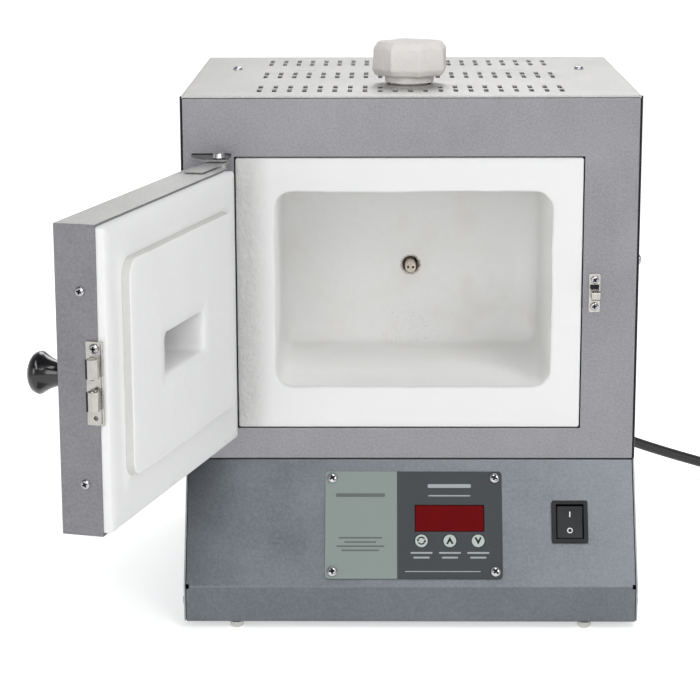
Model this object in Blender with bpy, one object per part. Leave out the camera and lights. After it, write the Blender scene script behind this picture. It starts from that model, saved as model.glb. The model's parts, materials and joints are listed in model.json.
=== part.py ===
"""A bench-top glass kiln with a side-hinged door, built as separate sub-parts.

Units are metres. +X is to the right of a person who faces the kiln, +Y is towards the
back and +Z is up. The parts are placed in a working frame whose origin is on the floor,
under the middle of the upper case's front panel. At the end the whole kiln is moved so
that the world origin is the bottom centre of the box round everything but the cord.

The door is modelled shut and hangs on an empty at its hinge pins, which then turns it
open. The control parts are modelled flat on an empty that lies on the sloping panel.
"""

import math

import bmesh
import bpy
from mathutils import Matrix, Vector

# Sheet metal and the gap kept between pieces that touch.
SHEET = 0.0012
BEND = 0.002
FIT = 0.0004
FLANGE = 0.012
CUT_MARGIN = 0.001

# Upper case and base.
CASE_WIDTH = 0.312
CASE_DEPTH = 0.270
CASE_HEIGHT = 0.253
BASE_HEIGHT = 0.105
BASE_PROJECTION = 0.043
BAND_HEIGHT = 0.0255
SIDE_CHAMFER = 0.0025
DECK_FLANGE = 0.010
LIP_DEPTH = 0.014

# Feet.
FOOT_HEIGHT = 0.005
FOOT_RADIUS = 0.0048
FOOT_FLAT_RADIUS = 0.0030
FOOT_STEM_RADIUS = 0.0020
FOOT_STEM_LENGTH = 0.006
FOOT_SPREAD = 0.120
FOOT_INSET = 0.0060

# Cooling slots in the top: rows of paired slots.
VENT_ROWS = (0.045, 0.135, 0.225)
VENT_COLUMNS = 21
VENT_PITCH = 0.0104
SLOT_WIDTH = 0.0032
SLOT_LENGTH = 0.017
SLOT_BRIDGE = 0.005
HANGER_SLOT_X = 0.0767
HANGER_SLOT_Y = 0.167
HANGER_SLOT_LENGTH = 0.0155
HANGER_SLOT_WIDTH = 0.0014

# Ceramic-fibre firing chamber: an outer block with a cavity open at the front.
BLOCK_WIDTH = 0.236
BLOCK_HEIGHT = 0.188
BLOCK_CENTRE_X = -0.001
BLOCK_BOTTOM = 0.023
BLOCK_PROUD = 0.001
CAVITY_WIDTH = 0.189
CAVITY_HEIGHT = 0.136
CAVITY_DEPTH = 0.153
CAVITY_CENTRE_X = 0.0018
CAVITY_FLOOR = 0.0288
CAVITY_RADIUS = 0.012
BACK_WALL = 0.028
PANEL_GAP = 0.0008

# Insulation boards round the block.
BOARD = 0.022
ELEMENT_GAP = 0.0055
BOARD_FRONT = 0.0140

# Heating rods beside the block.
ROD_RADIUS = 0.0016
ROD_PASSES = 4
ROD_PITCH = 0.038
ROD_FRONT = 0.025
ROD_BACK = 0.165
ROD_TAIL = 0.216

# Vent plug and its hole.
VENT_Y = 0.078
VENT_HOLE_RADIUS = 0.0150
PLUG_HEAD_ACROSS = 0.052
PLUG_HEAD_DEPTH = 0.046
PLUG_HEAD_HEIGHT = 0.0245
PLUG_HEAD_BEVEL = 0.0045
PLUG_NECK_RADIUS = 0.0180
PLUG_NECK_HEIGHT = 0.0060
PLUG_STEM_TOP_RADIUS = 0.0135
PLUG_STEM_TIP_RADIUS = 0.0110
PLUG_STEM_LENGTH = 0.0600
PLUG_TURN = math.radians(-8)

# Thermocouple.
COUPLE_RADIUS = 0.0040
COUPLE_BORE_RADIUS = 0.0010
COUPLE_BORE_SPACING = 0.0037
COUPLE_REACH = 0.012
COUPLE_HEIGHT = 0.0632
COUPLE_BLOCK = (0.030, 0.012, 0.018)
COUPLE_TAIL = 0.010

# Door. Lengths run from the hinge end to the free end.
DOOR_LENGTH = 0.2302
DOOR_HEIGHT = 0.1844
DOOR_BOTTOM = 0.0258
DOOR_PAN_DEPTH = 0.0254
DOOR_PROUD = 0.0051
DOOR_STANDOFF = 0.0005
DOOR_PLUG_HEIGHT = 0.0053
DOOR_PLUG_CLEARANCE = 0.0025
DOOR_PLUG_RADIUS = 0.010
DOOR_OPEN = math.radians(105.3)
HINGE_BEYOND_DOOR = 0.0190
HINGE_FROM_INNER = 0.0178
HINGE_X = -0.1285

# Hinges.
LEAF = 0.0016
ARM = 0.0010
ARM_HALF_WIDTH = 0.0065
ARM_LENGTH = 0.050
LEAF_LEFT = 0.0195
LEAF_RIGHT = 0.0060
LEAF_NOSE = 0.0072
LEAF_INSIDE = 0.0105
PIN_RADIUS = 0.0025
PIN_CLEARANCE = 0.00035
PIN_HEAD_RADIUS = 0.0046
PIN_HEAD_HEIGHT = 0.0034
PIN_NUT_HEIGHT = 0.0036

# Door window.
WINDOW_WIDTH = 0.070
WINDOW_HEIGHT = 0.026
WINDOW_RADIUS = 0.005
PANE_MARGIN = 0.005
PANE_THICKNESS = 0.003
FRAME_MARGIN = 0.008
FRAME_THICKNESS = 0.0015

# Door knob and its screw.
KNOB_FROM_HINGE_END = 0.200
KNOB_ABOVE_SEAM = 0.1145
KNOB_NECK_RADIUS = 0.0070
KNOB_RIM_RADIUS = 0.0130
KNOB_RIM_HEIGHT = 0.0235
KNOB_HEIGHT = 0.0305
KNOB_BORE_RADIUS = 0.0024
KNOB_BORE_DEPTH = 0.0120
STUD_RADIUS = 0.0020
STUD_HEAD_RADIUS = 0.0045
STUD_HEAD_HEIGHT = 0.0026

# Double ball catch on the door's free end, and the strike it grips.
LATCH_HEIGHT = 0.1180
CATCH_LENGTH = 0.0495
CATCH_WIDTH = 0.0104
CATCH_PLATE = 0.0012
CATCH_FROM_INNER = 0.0069
BARREL_RADIUS = 0.0040
BARREL_LENGTH = 0.0116
BARREL_GAP = 0.0076
BARREL_STAND = 0.0036
BARREL_BORE_RADIUS = 0.0028
BALL_RADIUS = 0.0025
BALL_PROUD = 0.0013
BALL_TRAVEL = 0.0012
SPRING_RADIUS = 0.0018
SPRING_WIRE = 0.0003
SPRING_TURNS = 4
ADJUSTER_LENGTH = 0.0018
STRIKE_WIDTH = 0.0080
STRIKE_LENGTH = 0.0269
STRIKE_PLATE = 0.0010
STRIKE_CLEARANCE = 0.0008
TONGUE_WIDTH = 0.0060
TONGUE_HALF_HEIGHT = 0.0032
TONGUE_NECK_HALF_HEIGHT = 0.0021
TONGUE_NECK_HALF_LENGTH = 0.0021
TONGUE_HEAD_LENGTH = 0.0030
TONGUE_CHAMFER = 0.0010
STRIKE_SLOT = (0.0048, 0.0016)

# Control panel on the sloping front. Places are from the fold below the slope.
PLATE_CENTRE_X = 0.0023
PLATE_CENTRE_Y = 0.0432
PLATE_WIDTH = 0.1224
PLATE_HEIGHT = 0.0753
PLATE_THICKNESS = 0.0015
PLATE_RADIUS = 0.0020
FASCIA_HOLE = (0.105, 0.054)
WINDOW_PLACE = (0.0271, 0.0478)
WINDOW_SIZE = (0.0480, 0.0189)
LENS_SINK = 0.0003
MODULE_DEPTH = 0.0080
KEY_PLACES = (0.0076, 0.0272, 0.0467)
KEY_ROW = 0.0319
KEY_RADIUS = 0.0045
KEY_PROUD = 0.0006
KEY_TRAVEL = 0.0005
KEY_STEM_RADIUS = 0.0018
KEY_STEM_DEPTH = 0.0105
BOARD_SIZE = (0.096, 0.048)
CIRCUIT_THICKNESS = 0.0016

# Power rocker.
SWITCH_PLACE = (0.1102, 0.0455)
BEZEL_SIZE = (0.0249, 0.0296)
BEZEL_THICKNESS = 0.0020
SWITCH_BODY = (0.0214, 0.0268)
SWITCH_DEPTH = 0.022
POCKET_SIZE = (0.0190, 0.0242)
POCKET_DEPTH = 0.0090
ROCKER_SIDE_GAP = 0.0005
ROCKER_HALF_LENGTH = 0.0112
ROCKER_TIP = 0.0042
ROCKER_WAIST = 0.0026
ROCKER_SKIRT = 0.0016
ROCKER_ROOT = 0.0032
ROCKER_PIVOT_DEPTH = 0.0020
ROCKER_TILT = math.radians(8)

# Electrical parts in the base.
RELAY_SIZE = (0.058, 0.045, 0.026)
RELAY_PLACE = (-0.070, 0.175)
TRANSFORMER_SIZE = (0.046, 0.038, 0.036)
TRANSFORMER_PLACE = (0.020, 0.180)
TERMINAL_SIZE = (0.062, 0.020, 0.016)
TERMINAL_PLACE = (0.100, 0.140)
TERMINAL_WAYS = 4

# The catch's screw: head radius, head height, shank radius, shank length.
CATCH_SCREW = (0.0030, 0.0016, 0.0014, 0.0060)
SCREW_CLEARANCE = 0.0004
CATCH_SCREW_FROM_END = 0.0042

# Mains cord, its strain relief and its plug. The points are from the exit, metres.
CORD_RADIUS = 0.00425
CORD_EXIT_X = 0.118
CORD_EXIT_Z = 0.0685
RELIEF_HOLE_RADIUS = 0.0075
RELIEF_FLANGE_RADIUS = 0.0100
RELIEF_FLANGE = 0.0030
RELIEF_LENGTH = 0.030
RELIEF_TIP_RADIUS = 0.0056
RELIEF_INSIDE = 0.009
CORD_ROUTE = (
    (0.0000, 0.0000, 0.0000), (0.0002, 0.0065, -0.0001), (0.0031, 0.0150, -0.0013),
    (0.0105, 0.0255, -0.0048),
    (0.0222, 0.0332, -0.0110), (0.0380, 0.0362, -0.0200), (0.0570, 0.0365, -0.0296),
    (0.0760, 0.0365, -0.0375), (0.1000, 0.0365, -0.0455), (0.1250, 0.0365, -0.0530),
    (0.1470, 0.0365, -0.0590), (0.1660, 0.0365, -0.0630), (0.1808, 0.0365, -0.06415),
)
CORD_STEP = 0.010
CORD_GAP = 0.0010
COIL_MEAN_RADIUS = 0.045
COIL_TURNS_ACROSS = 2
COIL_TURNS_HIGH = 3
COIL_SECTION_BEVEL = 0.003
PLUG_GRIP = (0.034, 0.026, 0.022)
PLUG_SLEEVE_LENGTH = 0.018
PLUG_SLEEVE_RADIUS = 0.0060
BLADE_SIZE = (0.017, 0.0015, 0.0063)
BLADE_SPACING = 0.0127
GROUND_PIN_RADIUS = 0.0024
TAIL_START = (0.045, 0.022)
TAIL_BEND = 0.036

# Worked out from the sizes above.
HALF_CASE = CASE_WIDTH / 2
HALF_PANEL = HALF_CASE - SHEET - FIT
SEAM_Z = FOOT_HEIGHT + BASE_HEIGHT
TOP_Z = SEAM_Z + CASE_HEIGHT
BAND_TOP_Z = FOOT_HEIGHT + BAND_HEIGHT
SLOPE_RISE = SEAM_Z - BAND_TOP_Z
SLOPE_ANGLE = math.atan2(SLOPE_RISE, BASE_PROJECTION)
BLOCK_Z = SEAM_Z + BLOCK_BOTTOM
BLOCK_BACK = CAVITY_DEPTH - BLOCK_PROUD + BACK_WALL
CAVITY_Z = BLOCK_Z + CAVITY_FLOOR
CAVITY_BACK = CAVITY_DEPTH - BLOCK_PROUD
DOOR_INNER_Y = -BLOCK_PROUD - DOOR_STANDOFF
HINGE_Y = DOOR_INNER_Y - HINGE_FROM_INNER
DOOR_LEFT = HINGE_X + HINGE_BEYOND_DOOR
DOOR_RIGHT = DOOR_LEFT + DOOR_LENGTH
DOOR_Z = SEAM_Z + DOOR_BOTTOM
DOOR_TOP_Z = DOOR_Z + DOOR_HEIGHT
PAN_EDGE_Y = DOOR_INNER_Y - DOOR_PROUD
DOOR_OUTER_Y = PAN_EDGE_Y - DOOR_PAN_DEPTH
LATCH_Z = SEAM_Z + LATCH_HEIGHT
LATCH_Y = DOOR_INNER_Y - CATCH_FROM_INNER
CATCH_X = DOOR_RIGHT + FIT
BARREL_X = CATCH_X + CATCH_PLATE + BARREL_STAND


# ---------------------------------------------------------------- making shapes


def prism(outline, axis, low, high):
    """A solid with the outline across the axis; points are in the other two axes' order."""
    bm = bmesh.new()
    rings = []
    for level in (low, high):
        ring = []
        for a, b in outline:
            place = {"X": (level, a, b), "Y": (a, level, b), "Z": (a, b, level)}[axis]
            ring.append(bm.verts.new(place))
        rings.append(ring)
    bm.faces.new(rings[0])
    bm.faces.new(reversed(rings[1]))
    count = len(outline)
    for i in range(count):
        j = (i + 1) % count
        bm.faces.new((rings[0][j], rings[0][i], rings[1][i], rings[1][j]))
    return bm


def box(low, high):
    """A block between two opposite corners."""
    outline = ((low[0], low[1]), (high[0], low[1]), (high[0], high[1]), (low[0], high[1]))
    return prism(outline, "Z", low[2], high[2])


def centred_box(centre, size):
    """A block given by its middle and its three sides."""
    low = [c - s / 2 for c, s in zip(centre, size)]
    high = [c + s / 2 for c, s in zip(centre, size)]
    return box(low, high)


def arc(centre, radius, start, end, steps):
    """Points on an arc in the plane, both ends included."""
    points = []
    for k in range(steps + 1):
        angle = math.radians(start + (end - start) * k / steps)
        points.append((centre[0] + radius * math.cos(angle), centre[1] + radius * math.sin(angle)))
    return points


def rounded_rectangle(centre, size, radius, steps=4):
    """Outline of a rectangle with round corners, anticlockwise."""
    across, up = size[0] / 2 - radius, size[1] / 2 - radius
    outline = []
    for sx, sy, start in ((1, 1, 0), (-1, 1, 90), (-1, -1, 180), (1, -1, 270)):
        corner = (centre[0] + sx * across, centre[1] + sy * up)
        outline += arc(corner, radius, start, start + 90, steps)
    return outline


def polygon(sides, radius, centre=(0, 0), turn=0.0):
    """Outline of a regular polygon with its corners on the radius."""
    outline = []
    for k in range(sides):
        angle = turn + 2 * math.pi * k / sides
        outline.append((centre[0] + radius * math.cos(angle), centre[1] + radius * math.sin(angle)))
    return outline


def turned(profile, sides=20, closed=False):
    """A solid of revolution about Z. The profile is (radius, height) points; one whose ends
    are off the axis gets flat ends, and a closed one makes a ring."""
    bm = bmesh.new()
    rings = []
    for radius, height in profile:
        if radius == 0:
            rings.append([bm.verts.new((0, 0, height))])
        else:
            rings.append([bm.verts.new((x, y, height)) for x, y in polygon(sides, radius)])
    pairs = list(zip(rings, rings[1:]))
    if closed:
        pairs.append((rings[-1], rings[0]))
    for below, above in pairs:
        for i in range(sides):
            j = (i + 1) % sides
            if len(below) == 1:
                bm.faces.new((below[0], above[j], above[i]))
            elif len(above) == 1:
                bm.faces.new((below[i], below[j], above[0]))
            else:
                bm.faces.new((below[i], below[j], above[j], above[i]))
    if not closed:
        for ring in (rings[0], rings[-1]):
            if len(ring) > 1:
                bm.faces.new(ring)
    return bm


AIM = {
    "+Z": Matrix.Identity(4),
    "-Z": Matrix.Rotation(math.pi, 4, "X"),
    "+Y": Matrix.Rotation(-math.pi / 2, 4, "X"),
    "-Y": Matrix.Rotation(math.pi / 2, 4, "X"),
    "+X": Matrix.Rotation(math.pi / 2, 4, "Y"),
    "-X": Matrix.Rotation(-math.pi / 2, 4, "Y"),
}


def placed(bm, place, aim="+Z"):
    """Turns a shape made along +Z towards another axis, then moves it."""
    bm.transform(Matrix.Translation(place) @ AIM[aim])
    return bm


def rod(place, aim, radius, length, sides=16):
    """A round bar, or the cutter for a round hole, from a point along an axis."""
    return placed(turned(((radius, 0), (radius, length)), sides), place, aim)


def folded_outline(points, thickness, bend, steps=3):
    """Outline of a strip folded to the left at each point; the points are on its outer face."""
    outer, inner = [], []
    path = [Vector(p) for p in points]
    for i, here in enumerate(path):
        before = (here - path[i - 1]).normalized() if i > 0 else None
        after = (path[i + 1] - here).normalized() if i + 1 < len(path) else None
        if before is None or after is None:
            along = after or before
            outer.append(here)
            inner.append(here + Vector((-along.y, along.x)) * thickness)
            continue
        turn = math.atan2(before.x * after.y - before.y * after.x, before.dot(after))
        left = Vector((-before.y, before.x))
        centre = here - before * (bend * math.tan(turn / 2)) + left * bend
        for k in range(steps + 1):
            outward = Matrix.Rotation(turn * k / steps, 2) @ -left
            outer.append(centre + outward * bend)
            inner.append(centre + outward * (bend - thickness))
    return [tuple(p) for p in outer + inner[::-1]]


def combined(shapes):
    """Several separate shapes as one mesh, for a cutter."""
    whole = bmesh.new()
    for bm in shapes:
        mesh = bpy.data.meshes.new("part_of_cutter")
        bm.to_mesh(mesh)
        bm.free()
        whole.from_mesh(mesh)
        bpy.data.meshes.remove(mesh)
    return whole


def smooth_path(points, step):
    """Points a step apart on a smooth curve (Catmull-Rom) through the given points."""
    knots = [Vector(p) for p in points]
    knots = [2 * knots[0] - knots[1]] + knots + [2 * knots[-1] - knots[-2]]
    dense = []
    for i in range(1, len(knots) - 2):
        a, b, c, d = knots[i - 1:i + 3]
        for k in range(16):
            t = k / 16
            dense.append(0.5 * (2 * b + (c - a) * t + (2 * a - 5 * b + 4 * c - d) * t ** 2
                                + (3 * b - a - 3 * c + d) * t ** 3))
    dense.append(knots[-2])
    total = sum((q - p).length for p, q in zip(dense, dense[1:]))
    spacing = total / max(1, round(total / step))
    path, run = [dense[0]], 0.0
    for p, q in zip(dense, dense[1:]):
        run += (q - p).length
        if run >= spacing * len(path) and len(path) * spacing < total - spacing / 2:
            path.append(q)
    path.append(dense[-1])
    return path


# ------------------------------------------------------------ making sub-parts


def clear_scene():
    """Starts from an empty scene."""
    for obj in list(bpy.data.objects):
        bpy.data.objects.remove(obj, do_unlink=True)


def surface(name, colour, roughness, metallic=0.0):
    """A plain material."""
    material = bpy.data.materials.new(name)
    material.use_nodes = True
    shader = material.node_tree.nodes["Principled BSDF"]
    shader.inputs["Base Color"].default_value = (*colour, 1)
    shader.inputs["Roughness"].default_value = roughness
    shader.inputs["Metallic"].default_value = metallic
    return material


def empty(name, parent=None, place=(0, 0, 0)):
    """A frame for a group of parts."""
    obj = bpy.data.objects.new(name, None)
    bpy.context.collection.objects.link(obj)
    obj.parent = parent
    obj.location = place
    return obj


def linked(name, data, group, place):
    """Puts mesh or curve data into the scene under a group's empty."""
    obj = bpy.data.objects.new(name, data)
    bpy.context.collection.objects.link(obj)
    obj.parent = group
    obj.location = place
    return obj


def mesh_from(name, bm):
    """Mesh data with its faces pointing out."""
    bmesh.ops.recalc_face_normals(bm, faces=bm.faces[:])
    mesh = bpy.data.meshes.new(name)
    bm.to_mesh(mesh)
    bm.free()
    return mesh


def piece(name, group, material, bm, place=(0, 0, 0), smooth=False):
    """One sub-part."""
    mesh = mesh_from(name, bm)
    mesh.materials.append(material)
    if smooth:
        mesh.shade_smooth()
        mesh.set_sharp_from_angle(angle=math.radians(35))
    return linked(name, mesh, group, place)


def boolean(obj, shapes, operation, group, place):
    """Adds a Boolean with a hidden helper made of separate shapes."""
    helper = linked(f"{obj.name}_{operation.lower()}", mesh_from("helper", combined(shapes)),
                    group, place)
    helper.hide_render = True
    helper.display_type = "WIRE"
    modifier = obj.modifiers.new(operation.title(), "BOOLEAN")
    modifier.operation = operation
    modifier.solver = "EXACT"
    modifier.object = helper


def cut(obj, *shapes, group=None, place=(0, 0, 0)):
    """Cuts shapes out of a sub-part, in the sub-part's own group unless another is given."""
    boolean(obj, shapes, "DIFFERENCE", group or obj.parent, place)


def join(obj, *shapes, place=(0, 0, 0)):
    """Joins shapes to a sub-part as one body."""
    for shape in shapes:
        boolean(obj, [shape], "UNION", obj.parent, place)


def wire(name, group, material, points, radius, resolution, place=(0, 0, 0)):
    """A round rod or cord along points."""
    curve = bpy.data.curves.new(name, "CURVE")
    curve.dimensions = "3D"
    curve.bevel_depth = radius
    curve.bevel_resolution = resolution
    curve.use_fill_caps = True
    spline = curve.splines.new("POLY")
    spline.points.add(len(points) - 1)
    for point, target in zip(spline.points, points):
        point.co = (*target, 1)
    curve.materials.append(material)
    return linked(name, curve, group, place)


def screw(name, group, material, sizes, place, plates):
    """A pan-head screw with its head towards +X on a face at place. Its shank's clearance
    hole is cut in each plate."""
    head_radius, head_height, shank_radius, shank_length = sizes
    profile = (
        (0, -shank_length), (shank_radius, -shank_length), (shank_radius, FIT),
        (head_radius, FIT), (head_radius, FIT + head_height * 0.45),
        (head_radius * 0.72, FIT + head_height * 0.9), (0, FIT + head_height),
    )
    piece(name, group, material, placed(turned(profile, 12), (0, 0, 0), "+X"), place, smooth=True)
    start = (place[0] + CUT_MARGIN, place[1], place[2])
    length = shank_length + 2 * CUT_MARGIN
    for plate in plates:
        cut(plate, rod(start, "-X", shank_radius + SCREW_CLEARANCE, length, 12))


# ------------------------------------------------------------------- the case


def make_case_wrap(group, steel):
    """Top and both sides in one folded sheet, with the cooling slots."""
    low = SEAM_Z + FIT
    path = ((HALF_CASE, low), (HALF_CASE, TOP_Z), (-HALF_CASE, TOP_Z), (-HALF_CASE, low))
    wrap = piece("case_wrap", group, steel,
                 prism(folded_outline(path, SHEET, BEND), "Y", 0, CASE_DEPTH))
    holes = []
    reach = SLOT_LENGTH + SLOT_BRIDGE
    for row in VENT_ROWS:
        for column in range(VENT_COLUMNS):
            x = (column - (VENT_COLUMNS - 1) / 2) * VENT_PITCH
            for side in (-1, 1):
                centre = (x, row + side * reach / 2, TOP_Z)
                if math.hypot(x, centre[1] - VENT_Y) > VENT_HOLE_RADIUS + reach / 2:
                    holes.append(centred_box(centre, (SLOT_WIDTH, SLOT_LENGTH, 4 * SHEET)))
    for side in (-1, 1):
        centre = (side * HANGER_SLOT_X, HANGER_SLOT_Y, TOP_Z)
        holes.append(centred_box(centre, (HANGER_SLOT_LENGTH, HANGER_SLOT_WIDTH, 4 * SHEET)))
    holes.append(rod((0, VENT_Y, TOP_Z + 2 * SHEET), "-Z", VENT_HOLE_RADIUS, 4 * SHEET, 24))
    cut(wrap, *holes)


def make_end_panel(name, group, steel, face_y, inside):
    """A front or rear panel with its flanges turned inward; inside is +1 or -1 along Y."""
    low, high = SEAM_Z + FIT, TOP_Z - SHEET - FIT
    flange_y = face_y + inside * FLANGE
    near, far = sorted((face_y, flange_y))
    panel = piece(name, group, steel, box((-HALF_PANEL, near, low), (HALF_PANEL, far, high)))
    skin_y = face_y + inside * SHEET
    near, far = sorted((skin_y, flange_y + inside * CUT_MARGIN))
    inner = HALF_PANEL - SHEET
    cut(panel, box((-inner, near, low - CUT_MARGIN), (inner, far, high - SHEET)))
    return panel


def make_front_opening(panel):
    """The window that the firing block shows through."""
    low = (BLOCK_CENTRE_X - BLOCK_WIDTH / 2 - PANEL_GAP, -CUT_MARGIN, BLOCK_Z - PANEL_GAP)
    high = (BLOCK_CENTRE_X + BLOCK_WIDTH / 2 + PANEL_GAP, FLANGE / 2,
            BLOCK_Z + BLOCK_HEIGHT + PANEL_GAP)
    cut(panel, box(low, high))


def make_base(group, steel):
    """The folded base (lip, slope, band, bottom and rear) and its two side plates."""
    path = (
        (LIP_DEPTH, SEAM_Z), (0, SEAM_Z), (-BASE_PROJECTION, BAND_TOP_Z),
        (-BASE_PROJECTION, FOOT_HEIGHT), (CASE_DEPTH, FOOT_HEIGHT), (CASE_DEPTH, SEAM_Z),
        (CASE_DEPTH - LIP_DEPTH, SEAM_Z),
    )
    chassis = piece("base_chassis", group, steel,
                    prism(folded_outline(path, SHEET, BEND), "X", -HALF_PANEL, HALF_PANEL))
    notches = []
    for side in (-1, 1):
        centre = (side * HALF_PANEL, -BASE_PROJECTION, BAND_TOP_Z)
        notches.append(centred_box(centre, (0.004, 0.006, 0.003)))
    cut(chassis, *notches)
    outline = (
        (0, SEAM_Z), (-BASE_PROJECTION, BAND_TOP_Z), (-BASE_PROJECTION, FOOT_HEIGHT + SIDE_CHAMFER),
        (-BASE_PROJECTION + SIDE_CHAMFER, FOOT_HEIGHT), (CASE_DEPTH, FOOT_HEIGHT),
        (CASE_DEPTH, SEAM_Z),
    )
    for name, low in (("base_side_left", -HALF_CASE), ("base_side_right", HALF_CASE - SHEET)):
        piece(name, group, steel, prism(outline, "X", low, low + SHEET))
    return chassis


def make_deck(group, steel):
    """The tray between the base and the hot part above."""
    low = SEAM_Z + FIT
    path = ((-HALF_PANEL, low + DECK_FLANGE), (-HALF_PANEL, low), (HALF_PANEL, low),
            (HALF_PANEL, low + DECK_FLANGE))
    piece("chamber_deck", group, steel,
          prism(folded_outline(path, SHEET, BEND), "Y", LIP_DEPTH + FIT,
                CASE_DEPTH - FLANGE - FIT))


def make_feet(group, metal, chassis):
    """Four domed glides with their stems through the bottom."""
    front = -BASE_PROJECTION + FOOT_INSET
    back = CASE_DEPTH - FOOT_INSET
    top = FOOT_HEIGHT - FIT
    profile = (
        (0, 0), (FOOT_FLAT_RADIUS, 0), (FOOT_RADIUS * 0.88, top * 0.28), (FOOT_RADIUS, top * 0.62),
        (FOOT_RADIUS, top), (FOOT_STEM_RADIUS, top), (FOOT_STEM_RADIUS, top + FOOT_STEM_LENGTH),
        (0, top + FOOT_STEM_LENGTH),
    )
    holes = []
    for name, x, y in (("foot_front_left", -1, front), ("foot_front_right", 1, front),
                       ("foot_rear_left", -1, back), ("foot_rear_right", 1, back)):
        place = (x * FOOT_SPREAD, y, 0)
        piece(name, group, metal, turned(profile, 16), place, smooth=True)
        start = (place[0], y, FOOT_HEIGHT - CUT_MARGIN)
        holes.append(rod(start, "+Z", FOOT_STEM_RADIUS + FIT, SHEET + 2 * CUT_MARGIN, 12))
    cut(chassis, *holes)


# ----------------------------------------------------------------- the hot part


def make_firing_block(group, fibre):
    """The ceramic-fibre block with the round-cornered cavity."""
    left = BLOCK_CENTRE_X - BLOCK_WIDTH / 2
    block = piece("firing_chamber", group, fibre,
                  box((left, -BLOCK_PROUD, BLOCK_Z),
                      (left + BLOCK_WIDTH, BLOCK_BACK, BLOCK_Z + BLOCK_HEIGHT)))
    centre = (CAVITY_CENTRE_X, CAVITY_Z + CAVITY_HEIGHT / 2)
    outline = rounded_rectangle(centre, (CAVITY_WIDTH, CAVITY_HEIGHT), CAVITY_RADIUS, 5)
    cut(block, prism(outline, "Y", -BLOCK_PROUD - CUT_MARGIN, CAVITY_BACK))
    vent_low = CAVITY_Z + CAVITY_HEIGHT - CUT_MARGIN
    vent = rod((0, VENT_Y, vent_low), "+Z", VENT_HOLE_RADIUS,
               BLOCK_Z + BLOCK_HEIGHT + CUT_MARGIN - vent_low, 20)
    couple = rod((CAVITY_CENTRE_X, CAVITY_BACK - CUT_MARGIN, BLOCK_Z + BLOCK_BOTTOM + COUPLE_HEIGHT),
                 "+Y", COUPLE_RADIUS + FIT, BACK_WALL + 2 * CUT_MARGIN, 16)
    cut(block, vent, couple)
    return block


def make_boards(group, fibre):
    """Insulation boards under, over, behind and beside the block."""
    left = BLOCK_CENTRE_X - BLOCK_WIDTH / 2
    right = left + BLOCK_WIDTH
    top = BLOCK_Z + BLOCK_HEIGHT
    back = BLOCK_BACK + FIT + BOARD
    outer_left = left - ELEMENT_GAP - BOARD
    outer_right = right + ELEMENT_GAP + BOARD
    spans = {
        "insulation_bottom": ((left, BOARD_FRONT + FIT, SEAM_Z + SHEET + 2 * FIT),
                              (right, BLOCK_BACK, BLOCK_Z - FIT)),
        "insulation_top": ((outer_left, BOARD_FRONT, top + FIT), (outer_right, back, top + FIT + BOARD)),
        "insulation_back": ((left, BLOCK_BACK + FIT, BLOCK_Z), (right, back, top)),
        "insulation_left": ((outer_left, BOARD_FRONT, BLOCK_Z), (left - ELEMENT_GAP, back, top)),
        "insulation_right": ((right + ELEMENT_GAP, BOARD_FRONT, BLOCK_Z), (outer_right, back, top)),
    }
    boards = {name: piece(name, group, fibre, box(*span)) for name, span in spans.items()}
    hole = rod((0, VENT_Y, top - CUT_MARGIN), "+Z", VENT_HOLE_RADIUS, BOARD + 4 * CUT_MARGIN, 20)
    cut(boards["insulation_top"], hole)
    place = (CAVITY_CENTRE_X, BLOCK_BACK - CUT_MARGIN, BLOCK_Z + BLOCK_BOTTOM + COUPLE_HEIGHT)
    hole = rod(place, "+Y", COUPLE_RADIUS + FIT, BOARD + 4 * CUT_MARGIN, 16)
    cut(boards["insulation_back"], hole)


def make_elements(group, metal):
    """A sheathed heating rod in each gap beside the block, bent to and fro."""
    low = BLOCK_Z + BLOCK_HEIGHT / 2 - ROD_PITCH * (ROD_PASSES - 1) / 2
    radius = ROD_PITCH / 2
    path = [(ROD_TAIL, low)]
    for turn in range(ROD_PASSES - 1):
        middle = low + ROD_PITCH * (turn + 0.5)
        if turn % 2 == 0:
            path += arc((ROD_FRONT + radius, middle), radius, 270, 90, 8)
        else:
            path += arc((ROD_BACK - radius, middle), radius, -90, 90, 8)
    path.append((ROD_TAIL, low + ROD_PITCH * (ROD_PASSES - 1)))
    half = BLOCK_WIDTH / 2 + ELEMENT_GAP / 2
    for name, side in (("element_left", -1), ("element_right", 1)):
        points = [(BLOCK_CENTRE_X + side * half, y, z) for y, z in path]
        wire(name, group, metal, points, ROD_RADIUS, 1)


def make_thermocouple(group, ceramic, plastic):
    """A two-bore ceramic rod through the back wall, and the block its wires end in."""
    height = BLOCK_Z + BLOCK_BOTTOM + COUPLE_HEIGHT
    tip = CAVITY_BACK - COUPLE_REACH
    tail = BLOCK_BACK + BOARD + COUPLE_TAIL
    place = (CAVITY_CENTRE_X, tip, height)
    length = tail - tip
    probe = piece("thermocouple", group, ceramic, rod((0, 0, 0), "+Y", COUPLE_RADIUS, length, 16),
                  place, smooth=True)
    bores = []
    for side in (-1, 1):
        start = (side * COUPLE_BORE_SPACING / 2, -CUT_MARGIN, 0)
        bores.append(rod(start, "+Y", COUPLE_BORE_RADIUS, length + 2 * CUT_MARGIN, 8))
    cut(probe, *bores, place=place)
    width, depth, tall = COUPLE_BLOCK
    piece("thermocouple_block", group, plastic,
          centred_box((0, depth / 2, 0), (width, depth, tall)),
          (CAVITY_CENTRE_X, tail + FIT, height))


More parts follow.
